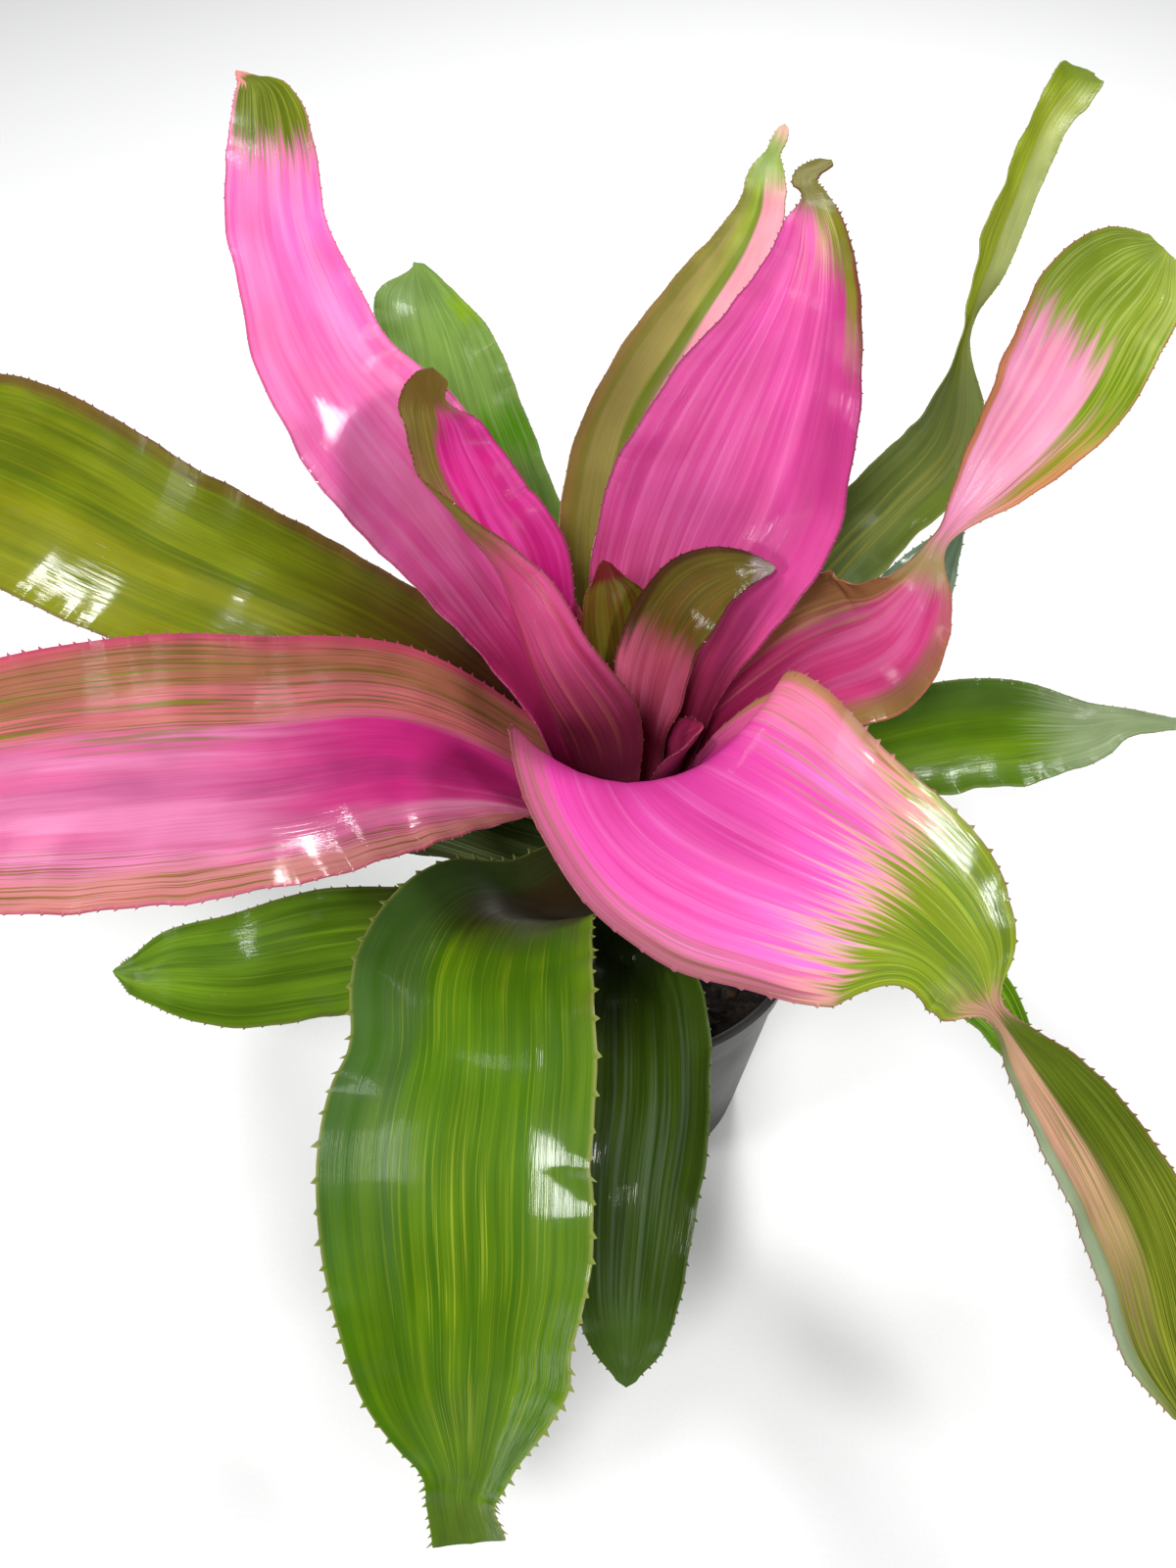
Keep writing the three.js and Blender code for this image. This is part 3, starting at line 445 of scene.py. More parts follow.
leafLooks = {
    "heart_right": {"rim": "#4a2416", "body": ("#af4860", "#c25a75"), "patches": [
        patch("#872b46", (-1, 0.35), soft=0.08),
        patch("#c46487", (0.3, 0.6), stripe=1.6, cut=0.56, amount=0.5),
        patch("#5a4e17", (0.55, 2)),
        patch("#777123", (0.5, 0.85), stripe=1, cut=0.54, amount=0.4),
        patch("#77481f", (0.5, 0.85), stripe=2.2, cut=0.54, amount=0.4),
        patch("#482f11", (0.5, 2), (0.8, 2), soft=0.06),
        patch("#7a6964", (0.94, 2), soft=0.02)],
        "under": {"wax": 0, "body": ("#a8446c", "#8a4a50"), "patches": [
            patch("#5a4f18", (0.6, 2), soft=0.06)]}},
    "heart_small": {"rim": "#5a2016", "body": ("#5c4f14", "#6a621c"), "patches": [
        patch("#76781c", (0.3, 0.8), stripe=1.4, cut=0.54, amount=0.4),
        patch("#6a2a1e", (0.5, 2), stripe=1.4, cut=0.54, amount=0.6),
        patch("#6a201e", (0.93, 2), soft=0.03)],
        "under": {"wax": 0, "body": ("#5c4f14", "#6a5c24"), "patches": []}},
    "heart_left": {"rim": "#5a3016", "wax": 0.5, "body": ("#b81c72", "#c63a8a"), "film": [
        patch(-0.3, side=(-2, 0.3), soft=0.1)], "patches": [
        patch("#821a47", (-1, 0.3), soft=0.1),
        patch("#a6165c", (0.3, 0.9), stripe=3, cut=0.52, amount=0.5),
        patch("#695e25", (0.6, 2), (0.4, 2)),
        patch("#695e25", (0.7, 2), (0.1, 2)),
        patch("#695e25", (0.84, 2), (-0.15, 2), soft=0.04),
        patch("#827331", (0.62, 2), (0.1, 2), stripe=1.6, amount=0.7),
        patch("#974544", (0.5, 2), (0.1, 0.9), stripe=3, cut=0.56, amount=0.5),
        patch("#654f1e", (0.9, 2), soft=0.03)],
        "under": {"body": ("#ae2c5e", "#c04a7a"), "film": [
            patch(-0.4, (0.68, 2)), patch(-0.4, (-1, 0.5)),
            patch(0.2, (0.52, 0.66), (0, 0.5))], "patches": [
            # painted shade: the dark maroon over the base of this underside is the shaded side of the
            # leaf's foot
            patch("#5c1c30", (-1, 0.42), (-0.3, 2), soft=0.1),
            patch("#8a5a38", (0.3, 0.7), (-0.5, 0.9), stripe=2.2, cut=0.56, amount=0.3),
            patch("#6f5f24", (0.62, 2), soft=0.06),
            patch("#7f7a2c", (0.62, 2), stripe=1.6, cut=0.54, amount=0.7)]}},
    "cup_front": {"rim": "#6a3a3a", "body": ("#a02a58", "#b83a68"), "patches": [],
        "under": {"wax": 0, "body": ("#7c2048", "#8c2c54"), "patches": []}},
    "front_right_long": {"rim": "#8a4450", "under": pinkUnder, "body": ("#e45aae", "#e96cba"), "film": [
        patch(-0.3, side=(-2, 0.6), soft=0.1), patch(-0.4, (-1, 0.4), soft=0.03),
        patch(0.15, (0.41, 0.48), (0.66, 0.92)), patch(-0.3, (0.53, 2))], "patches": [
        patch("#c83c90", (-1, 0.38), (-0.1, 0.6), soft=0.08, amount=0.8),
        patch("#d33c98", (-1, 0.3), soft=0.08),
        # painted shade: the dark maroon at the leaf's foot stands for the shade deep in the cup
        patch("#8c1c50", (-1, 0.17)),
        patch("#f7a2dc", (0.25, 0.46), stripe=2.4, cut=0.6, amount=0.14),
        patch("#b87c74", (0.05, 0.5), (-2, -0.74), soft=0.12, amount=0.35),
        patch("#6a4c28", (0.05, 0.5), (-2, -0.93), amount=0.9),
        patch("#80703a", (0.12, 0.46), (-0.97, -0.7), soft=0.08, stripe=0.6, cut=0.57),
        patch("#7c5a30", (0.2, 0.6), (0.9, 2)),
        patch("#c88a6a", (0.2, 0.5), (0.66, 2), soft=0.12, amount=0.4),
        patch("#8a7a2c", (0.24, 0.5), (0.62, 0.95), stripe=0.8, cut=0.58, amount=0.8),
        patch("#8a8430", (0.3, 0.5), (0.4, 0.62), soft=0.06, stripe=1, cut=0.56, amount=0.7),
        patch("#e8a49c", (0.4, 0.44), soft=0.02, amount=0.8),
        patch("#728418", (0.42, 0.6), soft=0.02),
        patch("#9cac34", (0.415, 0.6), soft=0.03, stripe=1.2, cut=0.56, amount=0.6),
        patch("#506c10", (0.44, 0.6), soft=0.03, stripe=5, amount=0.7),
        patch("#d4848c", (0.57, 0.6), soft=0.012, amount=0.8),
        patch("#475709", (0.59, 2), soft=0.015),
        patch("#c18f7a", (0.59, 0.86), (-0.75, -0.1), soft=0.1),
        patch("#68751f", (0.62, 2), soft=0.06, stripe=1, cut=0.52, amount=0.8),
        patch("#8a8f2c", (0.78, 2), soft=0.06, stripe=1.6, amount=0.8),
        patch("#8a9878", (0.64, 0.95), (-2, -0.75), soft=0.08),
        patch("#a9a0a8", (0.385, 0.415), (-0.5, -0.4), soft=0.02, amount=0.7)]},
    "back_right_broad": {"rim": "#6a2c3a", "under": pinkUnder, "body": ("#cc4690", "#d45699"), "film": [
        patch(-0.3, (0.55, 2)), patch(-0.15)], "patches": [
        patch("#ab385c", (-1, 0.3), soft=0.1),
        # painted shade: the dark maroon at the leaf's foot stands for the shade deep in the cup
        patch("#6e0f2f", (-1, 0.17), soft=0.06),
        patch("#e87eb5", (0.2, 0.7), stripe=2.4, cut=0.56, amount=0.3),
        patch("#ac2872", (0.36, 2), (-2, -0.4), soft=0.2, amount=0.8),
        patch("#b83078", (0.2, 0.8), stripe=9, cut=0.54, amount=0.25),
        patch("#d49d9d", (0.66, 0.8), (-0.5, 0.5), stripe=1, cut=0.54, amount=0.5),
        patch("#78721f", (0.6, 0.95), (-2, -0.76), soft=0.06),
        patch("#6d6a17", (0.69, 0.95), (-2, -0.5), soft=0.04),
        patch("#6d6a17", (0.76, 0.95), (-2, -0.25), soft=0.04),
        patch("#a59d5e", (0.7, 0.92), (-0.7, -0.1), stripe=1, cut=0.48, amount=0.8),
        patch("#5a5211", (0.7, 0.92), (-2, -0.6), stripe=1.4, cut=0.52, amount=0.7),
        patch("#68391d", (0.6, 0.92), (-2, -0.92)),
        patch("#6d682b", (0.8, 2), soft=0.03)]},
    "right_twisted": {"rim": "#9a5a44", "under": pinkUnder, "wax": 0.4,
        "body": ("#bc3870", "#c65386"), "patches": [
        patch("#941f4e", (-1, 0.28), soft=0.1),
        # painted shade: the dark maroon at the leaf's foot stands for the shade deep in the cup
        patch("#690f27", (-1, 0.16)),
        patch("#b42b66", (0.15, 0.5), stripe=5, cut=0.52, amount=0.4),
        patch("#875a37", (0.12, 0.55), (0.5, 2), soft=0.08),
        patch("#a47d58", (0.2, 0.5), (0.3, 0.7), stripe=2, cut=0.52, amount=0.6),
        patch("#7c5c30", (0.2, 0.44), (-2, -0.62), soft=0.1),
        patch("#9c8758", (0.48, 0.56), soft=0.03),
        patch("#e087aa", (0.55, 2), soft=0.04),
        patch("#eba4b8", (0.6, 0.85), stripe=5, amount=0.6),
        patch("#ac6d4a", (0.58, 2), (0.84, 2), soft=0.06),
        patch("#bc7956", (0.58, 0.85), (-2, -0.62), soft=0.08),
        patch("#77771f", (0.58, 0.9), (-2, -0.5), soft=0.08, stripe=1.4),
        patch("#647d0b", (0.7, 2), (-2, -0.4)),
        patch("#738722", (0.79, 2), soft=0.03),
        patch("#96a23a", (0.72, 2), (-2, -0.3), soft=0.04, stripe=1.2, amount=0.7),
        patch("#a4b05a", (0.8, 2), soft=0.04, stripe=1.2, amount=0.6)]},
    "back_left_long": {"rim": "#b04a70", "under": pinkUnder, "body": ("#e662a8", "#ea7cb4"), "film": [
        patch(-0.3, (0.62, 2)), patch(-0.3, (-1, 0.47)),
        patch(-0.2, side=(-2, -0.2), soft=0.1),
        patch(0.3, (0.5, 0.61), (0.1, 2))], "patches": [
        patch("#dc4a98", (0.2, 0.8), stripe=10, amount=0.25),
        patch("#f4a0c8", (0.4, 0.8), stripe=3, cut=0.56, amount=0.2),
        patch("#b02c68", (-1, 0.33), soft=0.1),
        # painted shade: the dark maroon at the leaf's foot stands for the shade deep in the cup
        patch("#6c1230", (-1, 0.17)),
        patch("#8c3a44", (-1, 0.36), (-2, -0.7), soft=0.12),
        patch("#c05a72", (0.3, 0.6), (-1, -0.6), stripe=4, amount=0.5),
        patch("#515d06", (0.8, 2), (-2, 0.9), soft=0.03),
        patch("#7b8321", (0.79, 2), soft=0.04, stripe=1, cut=0.52, amount=0.7),
        patch("#d98a80", (0.92, 2), (0.5, 2), soft=0.02),
        patch("#d98a80", (0.985, 2), soft=0.01)]},
    "left_pink": {"rim": "#a83c60", "under": pinkUnder, "body": ("#bc5884", "#c66f98"), "film": [
        patch(-0.3, side=(-2, 0.05), soft=0.15), patch(-0.3, (0.6, 2)),
        patch(0.15, (0.43, 0.57), (0.2, 2))], "patches": [
        patch("#b42470", (0.14, 0.5), (-0.35, 0.4), soft=0.12),
        patch("#8f2860", (0.3, 0.75), (-0.02, 0.22), soft=0.08, amount=0.5),
        # painted shade: the dark maroon at the leaf's foot stands for the shade deep in the cup
        patch("#6e1a34", (-1, 0.2), soft=0.06),
        patch("#b45a56", side=(-2, -0.35), soft=0.1, amount=0.8),
        patch("#b36b5e", (0.3, 2), (-0.7, -0.35), stripe=3, amount=0.6),
        patch("#7d5e26", (0.2, 2), (-0.92, -0.62), soft=0.08, amount=0.6),
        patch("#605214", (0.2, 2), (-2, -0.3), soft=0.1, stripe=0.8, cut=0.54, amount=0.8),
        patch("#6e6d1b", (0.5, 2), (-0.9, -0.25), soft=0.1, stripe=1.4, cut=0.6),
        patch("#ac3852", side=(-2, -0.93), amount=0.6),
        patch("#ac7259", side=(0.74, 2), soft=0.1, amount=0.7),
        patch("#76551f", (0.2, 2), (0.55, 2), soft=0.1, stripe=0.7, cut=0.56)]},
    "back_striped": {"rim": "#a07a58", "wax": 0.35, "body": ("#84903c", "#929c54"), "film": [
        patch(-0.3, (0.6, 2))], "patches": [
        patch("#7a7420", (-1, 0.42), soft=0.12),
        patch("#9a8c40", (0.2, 0.8), (0.3, 2), soft=0.12, amount=0.6),
        patch("#b07850", (0.1, 0.6), (0.84, 2), soft=0.08, amount=0.4),
        patch("#a89a58", (0.36, 0.76), (0.2, 0.92), soft=0.12, stripe=9, cut=0.44, amount=0.85),
        patch("#dd94a0", (0.42, 0.86), (-2, 0.1), soft=0.08),
        patch("#667a18", (0.3, 0.95), (0.04, 0.26), amount=0.8),
        patch("#86a018", (0.66, 0.95), (0.2, 0.6), soft=0.08, amount=0.5),
        patch("#84984a", (0.86, 2), soft=0.04),
        patch("#c9a08a", (0.97, 2), soft=0.02)]},
    "left_green": {"rim": "#6c4a34", "film": [
        patch(-0.3, (-1, 0.52)), patch(-0.3, (0.74, 2)),
        patch(-0.3, side=(-2, 0), soft=0.1),
        patch(0.12, (0.55, 0.7), (0.1, 0.9))], "body": ("#576204", "#697406"), "patches": [
        patch("#7c7e08", (0.45, 2), (0, 2), soft=0.15, amount=0.8),
        patch("#4a5f05", (0.3, 2), stripe=8, amount=0.45),
        patch("#8b8b17", (0.35, 2), stripe=1.2, cut=0.58, amount=0.25),
        patch("#4f320e", (-1, 0.42), (-2, 0.5), soft=0.08, amount=0.8),
        patch("#411d14", (-1, 0.32), soft=0.06),
        patch("#5d3f1d", side=(-2, -0.88), soft=0.06, amount=0.8)]},
    "right_back_twisted": {"rim": "#8a8a52", "wax": 0.3, "body": ("#5f6d32", "#6f7d3e"),
        "film": [patch(-0.3, (0.56, 2))], "patches": [
        patch("#5c734e", (-1, 0.3), soft=0.1),
        patch("#8d9042", (0.2, 0.52), (-0.4, 0.3), soft=0.08, stripe=3),
        patch("#6d8419", (0.4, 0.52), (-2, -0.5), soft=0.08, amount=0.6),
        patch("#78861b", (0.57, 2), soft=0.02),
        # painted reflection: the pale grey over one half of the upper blade
        patch("#969c6a", (0.57, 0.86), (-2, 0), soft=0.12, amount=0.7),
        patch("#a0a636", (0.6, 2), soft=0.04, stripe=1, cut=0.54, amount=0.6),
        patch("#697b0d", (0.9, 2), soft=0.03)]},
    "back_green": {"rim": "#7c8a50", "wax": 0.12, "body": ("#5f7c34", "#6c883c"), "patches": [
        patch("#4f6c2a", (-1, 0.4), soft=0.1),
        # painted light: these two bright green bands stand for the lit part of the leaf beyond a shadow's
        # edge
        patch("#4c8404", (0.57, 0.64), (-2, -0.3), soft=0.03),
        patch("#6c8a0c", (0.82, 0.88), (-2, -0.6), soft=0.03),
        patch("#7f9850", (0.3, 2), stripe=1.2, cut=0.56, amount=0.5)]},
    "front_broad": {"rim": "#8a8a4a", "body": ("#3e6302", "#496b03"), "film": [
        patch(-0.4, side=(-2, 0.5), soft=0.12), patch(-0.4, (-1, 0.42), soft=0.03),
        patch(0.2, (0.45, 0.62), (0.5, 2))], "patches": [
        patch("#42341f", (-1, 0.3), soft=0.07),
        # painted sheen: the bluish grey-green over the side at -1 of the blade
        patch("#3c5927", (0.15, 0.6), (-2, -0.45), soft=0.1, amount=0.8),
        patch("#2f5502", (0.3, 2), stripe=8, amount=0.5),
        patch("#5d7905", (0.5, 2), (-0.8, 0.9), stripe=5, amount=0.35),
        patch("#8f9f1f", (0.27, 2), (-0.6, 0.8), soft=0.08, stripe=0.8, cut=0.6, amount=0.28),
        patch("#a9b336", (0.5, 0.97), (-0.3, 0.2), soft=0.08, stripe=0.8, cut=0.64, amount=0.45),
        patch("#57740e", side=(0.93, 2)),
        patch("#495f16", (0.9, 2), soft=0.04, amount=0.6)]},
    "right_dull": {"rim": "#7a8a6a", "body": ("#5a7058", "#72866c"), "patches": [
        patch("#4a5c34", (-1, 0.6))]},
    "right_low": {"rim": "#6c7c48", "wax": 0.3, "body": ("#486704", "#527007"), "patches": [
        patch("#395616", side=(0.5, 2), soft=0.15, amount=0.6),
        patch("#67850b", (0.4, 0.7), (-0.6, 0.4), stripe=5, amount=0.6),
        patch("#7e8d67", (0.7, 2), soft=0.07, amount=0.85),
        patch("#939e7c", (0.66, 2), stripe=1, cut=0.56, amount=0.5)]},
    "front_low": {"rim": "#5a6a34", "wax": 0.5, "body": ("#273b05", "#32460a"), "patches": [
        patch("#1a2506", (-1, 0.3), soft=0.08),
        patch("#445a1c", (0.4, 2), stripe=1, cut=0.58, amount=0.4),
        # painted reflection: soft grey-green streaks standing for a broad pale reflection
        patch("#6a7c68", (0.4, 0.9), (-0.6, 0.7), soft=0.15, stripe=2, amount=0.28),
        patch("#3d5618", (0.8, 2), soft=0.06, amount=0.7)]},
    "left_hidden": {"rim": "#5a5a38", "body": ("#36401c", "#444e28"), "patches": [
        patch("#5a643c", stripe=1.6, cut=0.54)]},
    "left_low": {"rim": "#6a6c38", "wax": 0.3, "body": ("#43620a", "#557611"), "patches": [
        patch("#3f3a1e", (-1, 0.4), soft=0.08),
        patch("#668913", (0.4, 2), (0.2, 2), stripe=9, amount=0.6),
        patch("#89a424", (0.4, 2), stripe=1, cut=0.58, amount=0.25)]},
    "front_right_low": {"rim": "#7c8a3c", "body": ("#4c7a0a", "#5f8c10"), "patches": [
        patch("#86a82c", (0.2, 2), stripe=1.4, cut=0.56)]},
    "back_low_right": lowGreen,
    "back_low_left": lowGreen,
}

bladeSkin = {
    "veinWide": 0.35,           # mm across and along the finest lines
    "veinLong": 34,
    "veinTone": 0.06,           # how far they lighten and darken the colour
    "drift": (6, 80),           # width and length in mm of the broad tone changes
    "fray": (1.8, 60),          # streaks that pull a patch's ends along the leaf
    "ragged": 0.05,             # how far they pull them
    "raggedSide": 0.15,
    "blotch": (16, 26),
    "stripeEdge": (0.07, 0.15),
    "rimWide": 0.7, "rimAmount": 0.65,
    "roughness": (0.34, 0.5),
    "dullRoughness": (0.42, 0.55),
    "ior": 1.4, "specular": 0.12,
    "coat": (0.06, 1.0),        # the wax film is thin on some threads and full on others
    "filmThreads": (0.5, 9), "filmPools": (12, 20), "filmEdge": (0.68, 0.84),
    "coatRoughness": 0.08,
    "bumpHigh": 0.00013,
}


def leafSkin(name, look, rim, long, wide, seed):
    # bromeliad leaf skin: waxy and wet-looking, with fine veins along the blade that break every
    # highlight into threads, and long flecks of a second colour; the underside is duller
    material, tree = newMaterial(name)
    skin = bladeSkin
    smooth = {"interpolation_type": "SMOOTHSTEP"}
    place = addNode(tree, "UVMap", uv_map="bladeMap")
    apart = addNode(tree, "SeparateXYZ", {0: place})
    side = addNode(tree, "MapRange", {"Value": apart.outputs["X"], "To Min": -1.0})

    def streaks(width, length, shift):
        grain = addNode(tree, "Mapping", {
            "Vector": place, "Location": (seed * 7.3 + shift, seed * 3.1 - shift, 0),
            "Scale": (wide / width, long / length, 1)})
        return addNode(tree, "TexNoise", {"Vector": grain, "Scale": 1.0}, noise_dimensions="2D")

    veins = streaks(skin["veinWide"], skin["veinLong"], 0)
    drift = streaks(*skin["drift"], 11)
    fray = streaks(*skin["fray"], 23)
    blotch = streaks(*skin["blotch"], 37)

    def frayed(value, pull, far):
        # the place on the leaf, pushed to and fro by the streaks
        pushed = addNode(tree, "Math", {0: pull, 1: 2 * far, 2: value}, operation="MULTIPLY_ADD")
        return addNode(tree, "Math", {0: pushed, 1: far}, operation="SUBTRACT")

    raggedPart = frayed(apart.outputs["Y"], fray, skin["ragged"])
    raggedSide = frayed(side, drift, skin["raggedSide"])

    def spread(item, number):
        # how fully a patch lies at each place; a mask goes from low to high, to the last two values
        masks = []
        soft = item["soft"]
        for value, (low, high), give in ((raggedPart, item["part"], soft),
                                         (raggedSide, item["side"], max(soft, 0.06))):
            if low > -1:
                masks.append((value, low - give, low + give, 0, 1))
            if high < 1:
                masks.append((value, high - give, high + give, 1, 0))
        if item["stripe"]:
            lines = streaks(item["stripe"], 30 + 30 * item["stripe"], 51 + 9 * number)
            below, above = skin["stripeEdge"]
            masks.append((lines, item["cut"] - below, item["cut"] + above, 0, 1))
        factor = item["amount"]
        for mask in masks:
            shown = addNode(tree, "MapRange", dict(enumerate(mask)), **smooth)
            factor = addNode(tree, "Math", {0: factor, 1: shown}, operation="MULTIPLY")
        return factor

    tone = addNode(tree, "MapRange", {0: drift, 1: 0.36, 2: 0.64}, **smooth)
    colour = addNode(tree, "Mix", {"Factor": tone, "A": look["body"][0], "B": look["body"][1]},
                     data_type="RGBA")
    for number, item in enumerate(look["patches"]):
        colour = addNode(tree, "Mix", {
            "Factor": spread(item, number), "A": colour, "B": item["colour"]}, data_type="RGBA")

    # lighter and darker threads and soft blotches, then the thin tinted margin
    for value, low, high, deep in ((veins, 0.3, 0.7, skin["veinTone"]), (blotch, 0.25, 0.75, 0.1)):
        shade = addNode(tree, "MapRange", {0: value, 1: low, 2: high, 3: 0.5 - deep, 4: 0.5 + deep},
                        **smooth)
        colour = addNode(tree, "Mix", {"Factor": 0.5, "A": colour, "B": shade},
                         data_type="RGBA", blend_type="OVERLAY")
    fromMiddle = addNode(tree, "Math", {0: side}, operation="ABSOLUTE")
    edge = 1 - 2 * skin["rimWide"] / wide
    atRim = addNode(tree, "MapRange", {
        0: fromMiddle, 1: edge - 0.02, 2: edge + 0.02, 4: skin["rimAmount"]}, **smooth)
    colour = addNode(tree, "Mix", {"Factor": atRim, "A": colour, "B": rim}, data_type="RGBA")

    ridges = addNode(tree, "Math", {0: veins, 1: 0.3, 2: drift}, operation="MULTIPLY_ADD")
    swell = addNode(tree, "Math", {0: fray, 1: 0.5, 2: ridges}, operation="MULTIPLY_ADD")
    bump = addNode(tree, "Bump", {
        "Height": swell, "Strength": 1.0, "Distance": skin["bumpHigh"]})
    wax = look.get("wax", 1.0)
    low, high = skin["roughness"] if wax else skin["dullRoughness"]
    rough = addNode(tree, "MapRange", {0: veins, 1: 0.3, 2: 0.7, 3: low, 4: high}, **smooth)
    thin, full = skin["coat"]
    pools = streaks(*skin["filmPools"], 83)
    film = addNode(tree, "Math", {0: pools, 1: 0.5, 2: streaks(*skin["filmThreads"], 71)},
                   operation="MULTIPLY_ADD")
    for number, item in enumerate(look.get("film", [])):
        film = addNode(tree, "Math", {0: spread(item, 30 + number), 1: item["colour"], 2: film},
                       operation="MULTIPLY_ADD")
    dry, wet = skin["filmEdge"]
    coat = addNode(tree, "MapRange", {0: film, 1: dry, 2: wet, 3: thin * wax, 4: full * wax}, **smooth)
    shader = addNode(tree, "BsdfPrincipled", {
        "Base Color": colour, "Roughness": rough, "IOR": skin["ior"],
        "Specular IOR Level": skin["specular"], "Normal": bump, "Coat Normal": bump,
        "Coat Weight": coat, "Coat Roughness": skin["coatRoughness"]})
    addNode(tree, "OutputMaterial", {"Surface": shader})
    return material


for rank, name in enumerate(leafNames):
    looks = leafLooks[name]
    line = leafLine(name)
    size = (leafLength(line, 61), float(line["width"].max()))
    under = looks.get("under", greenUnder)
    upperSkin = leafSkin("bromeliad_skin_upper_" + name, looks, looks["rim"], *size, rank + 1)
    underSkin = leafSkin("bromeliad_skin_under_" + name, under, looks["rim"], *size, rank + 40)
    buildLeaf(name, upperSkin, underSkin)
print("leaves built:", len(leafNames))


# Pot, potting mix and stem

potForm = {
    "height": 110, "rimRadius": 65.5, "rimDepth": 15, "rimStand": 2.5, "bandTop": 64.7,
    "footRadius": 48, "wall": 1.4, "floor": 2, "footRound": 1.2, "bandRound": 0.6, "lipRound": 0.75,
    "drainHoles": 6, "drainRadius": 4, "drainReach": 32, "sides": 144,
    "colour": "#201e1d", "worn": "#2c2a29",
    "grain": 1.11,              # mm across the moulded grain, coarse enough to show
    "dust": 35.7,               # mm across the rubbed patches
}

soilForm = {
    "top": 93, "bottom": 2.3, "gap": 0.3, "lumps": 1.6,     # lumps: mm up and down
    "sides": 120, "rings": 22, "holeDepth": 30.7,
    "chips": 240, "chipLong": (5, 13), "chipCorners": 10,
    "dark": "#14110f", "crumb": "#3a2a1e", "barkDark": "#1c1511", "bark": "#4a3324",
    "crumbWide": 2.2, "barkGrain": 3.5,
}

stemForm = {
    "top": 171, "foot": 63, "scarEvery": 3.3, "scarDeep": 0.35, "skin": "#8a8a58", "scar": "#5f4a30",
    "fibreWide": 1.11, "fibreLong": 8.33,
}


def potWallInside(height):
    form = potForm
    return (form["footRadius"] - form["wall"]
            + (form["rimRadius"] - form["rimStand"] - form["footRadius"]) * height / form["height"])


def turned(outline, sides):
    # rings of points round Z for an outline of [radius, height] pairs in mm, and their faces
    angles = np.linspace(0, 2 * math.pi, sides, endpoint=False)
    points = [(r * math.cos(a) * mm, r * math.sin(a) * mm, z * mm) for r, z in outline for a in angles]
    faces = []
    for low in range(0, (len(outline) - 1) * sides, sides):
        for i in range(sides):
            j = (i + 1) % sides
            faces.append((low + i, low + j, low + sides + j, low + sides + i))
    return points, faces


def arc(centre, radius, start, end, steps):
    angles = np.radians(np.linspace(start, end, steps))
    return [(centre[0] + radius * math.cos(a), centre[1] + radius * math.sin(a)) for a in angles]


def pottedPlastic():
    # moulded polypropylene: near black, satin, with faint flow marks and rubbed, dusty patches
    form = potForm
    material, tree = newMaterial("moulded_polypropylene")
    place = addNode(tree, "TexCoord").outputs["Object"]
    grain = addNode(tree, "TexNoise", {"Vector": place, "Scale": 1000 / form["grain"], "Detail": 3.0})
    dust = addNode(tree, "TexNoise", {"Vector": place, "Scale": 1000 / form["dust"], "Detail": 5.0})
    amount = addNode(tree, "MapRange", {"Value": dust, "From Min": 0.42, "From Max": 0.72})
    colour = addNode(tree, "Mix", {"Factor": amount, "A": form["colour"], "B": form["worn"]},
                     data_type="RGBA")
    rough = addNode(tree, "MapRange", {0: dust, 1: 0.3, 2: 0.7, 3: 0.36, 4: 0.52})
    bump = addNode(tree, "Bump", {"Height": grain, "Strength": 0.5, "Distance": 0.0001})
    shader = addNode(tree, "BsdfPrincipled", {
        "Base Color": colour, "Roughness": rough, "IOR": 1.49, "Specular IOR Level": 0.3,
        "Normal": bump})
    addNode(tree, "OutputMaterial", {"Surface": shader})
    return material


def buildPot():
    form = potForm
    height = form["height"]
    under = height - form["rimDepth"]
    wall = form["wall"]
    foot = form["footRound"]
    bend = form["bandRound"]
    lip = form["lipRound"]
    inside = potWallInside
    band = inside(under) + wall + 1.0
    outline = (
        arc((form["footRadius"] - foot, foot), foot, -90, 0, 7)
        + [(inside(z) + wall, z) for z in np.linspace(8, under - 1.2, 12)]
        + arc((band, under), bend, 180, 110, 4)
        + arc((band, under + 1.6), bend, -40, 0, 4)
        + [(form["bandTop"], height - 1.4)]
        + arc((inside(height) + lip, height - lip), lip, 20, 180, 9)
        + [(inside(z), z) for z in np.linspace(height - 6, form["floor"] + 2, 12)]
        + arc((inside(2) - 1.5, form["floor"] + 1.5), 1.5, 0, -90, 5)
    )
    sides = form["sides"]
    points, faces = turned(outline, sides)
    middle = len(points)
    points += [(0, 0, form["floor"] * mm), (0, 0, 0)]
    top = (len(outline) - 1) * sides
    for i in range(sides):
        j = (i + 1) % sides
        faces += [(top + i, top + j, middle), (j, i, middle + 1)]
    pot = addPiece("nurseryPot", points, faces, [pottedPlastic()], "pot", sharp=35)

    # drain holes through the floor
    holes = bmesh.new()
    radius = form["drainRadius"] * mm
    reach = form["drainReach"] * mm
    for i in range(form["drainHoles"]):
        angle = 2 * math.pi * i / form["drainHoles"]
        made = bmesh.ops.create_cone(holes, cap_ends=True, segments=32, radius1=radius, radius2=radius,
                                     depth=8 * mm)
        shift = Vector((reach * math.cos(angle), reach * math.sin(angle), 0))
        bmesh.ops.translate(holes, verts=made["verts"], vec=shift)
    holeMesh = bpy.data.meshes.new("drainCutters")
    holes.to_mesh(holeMesh)
    holes.free()
    cutter = bpy.data.objects.new("drainCutters", holeMesh)
    bpy.context.scene.collection.objects.link(cutter)
    cut = pot.modifiers.new("drain", "BOOLEAN")
    cut.object = cutter
    cut.solver = "EXACT"
    applied = bpy.data.meshes.new_from_object(pot.evaluated_get(bpy.context.evaluated_depsgraph_get()))
    pot.modifiers.clear()
    pot.data = applied
    bpy.data.objects.remove(cutter)


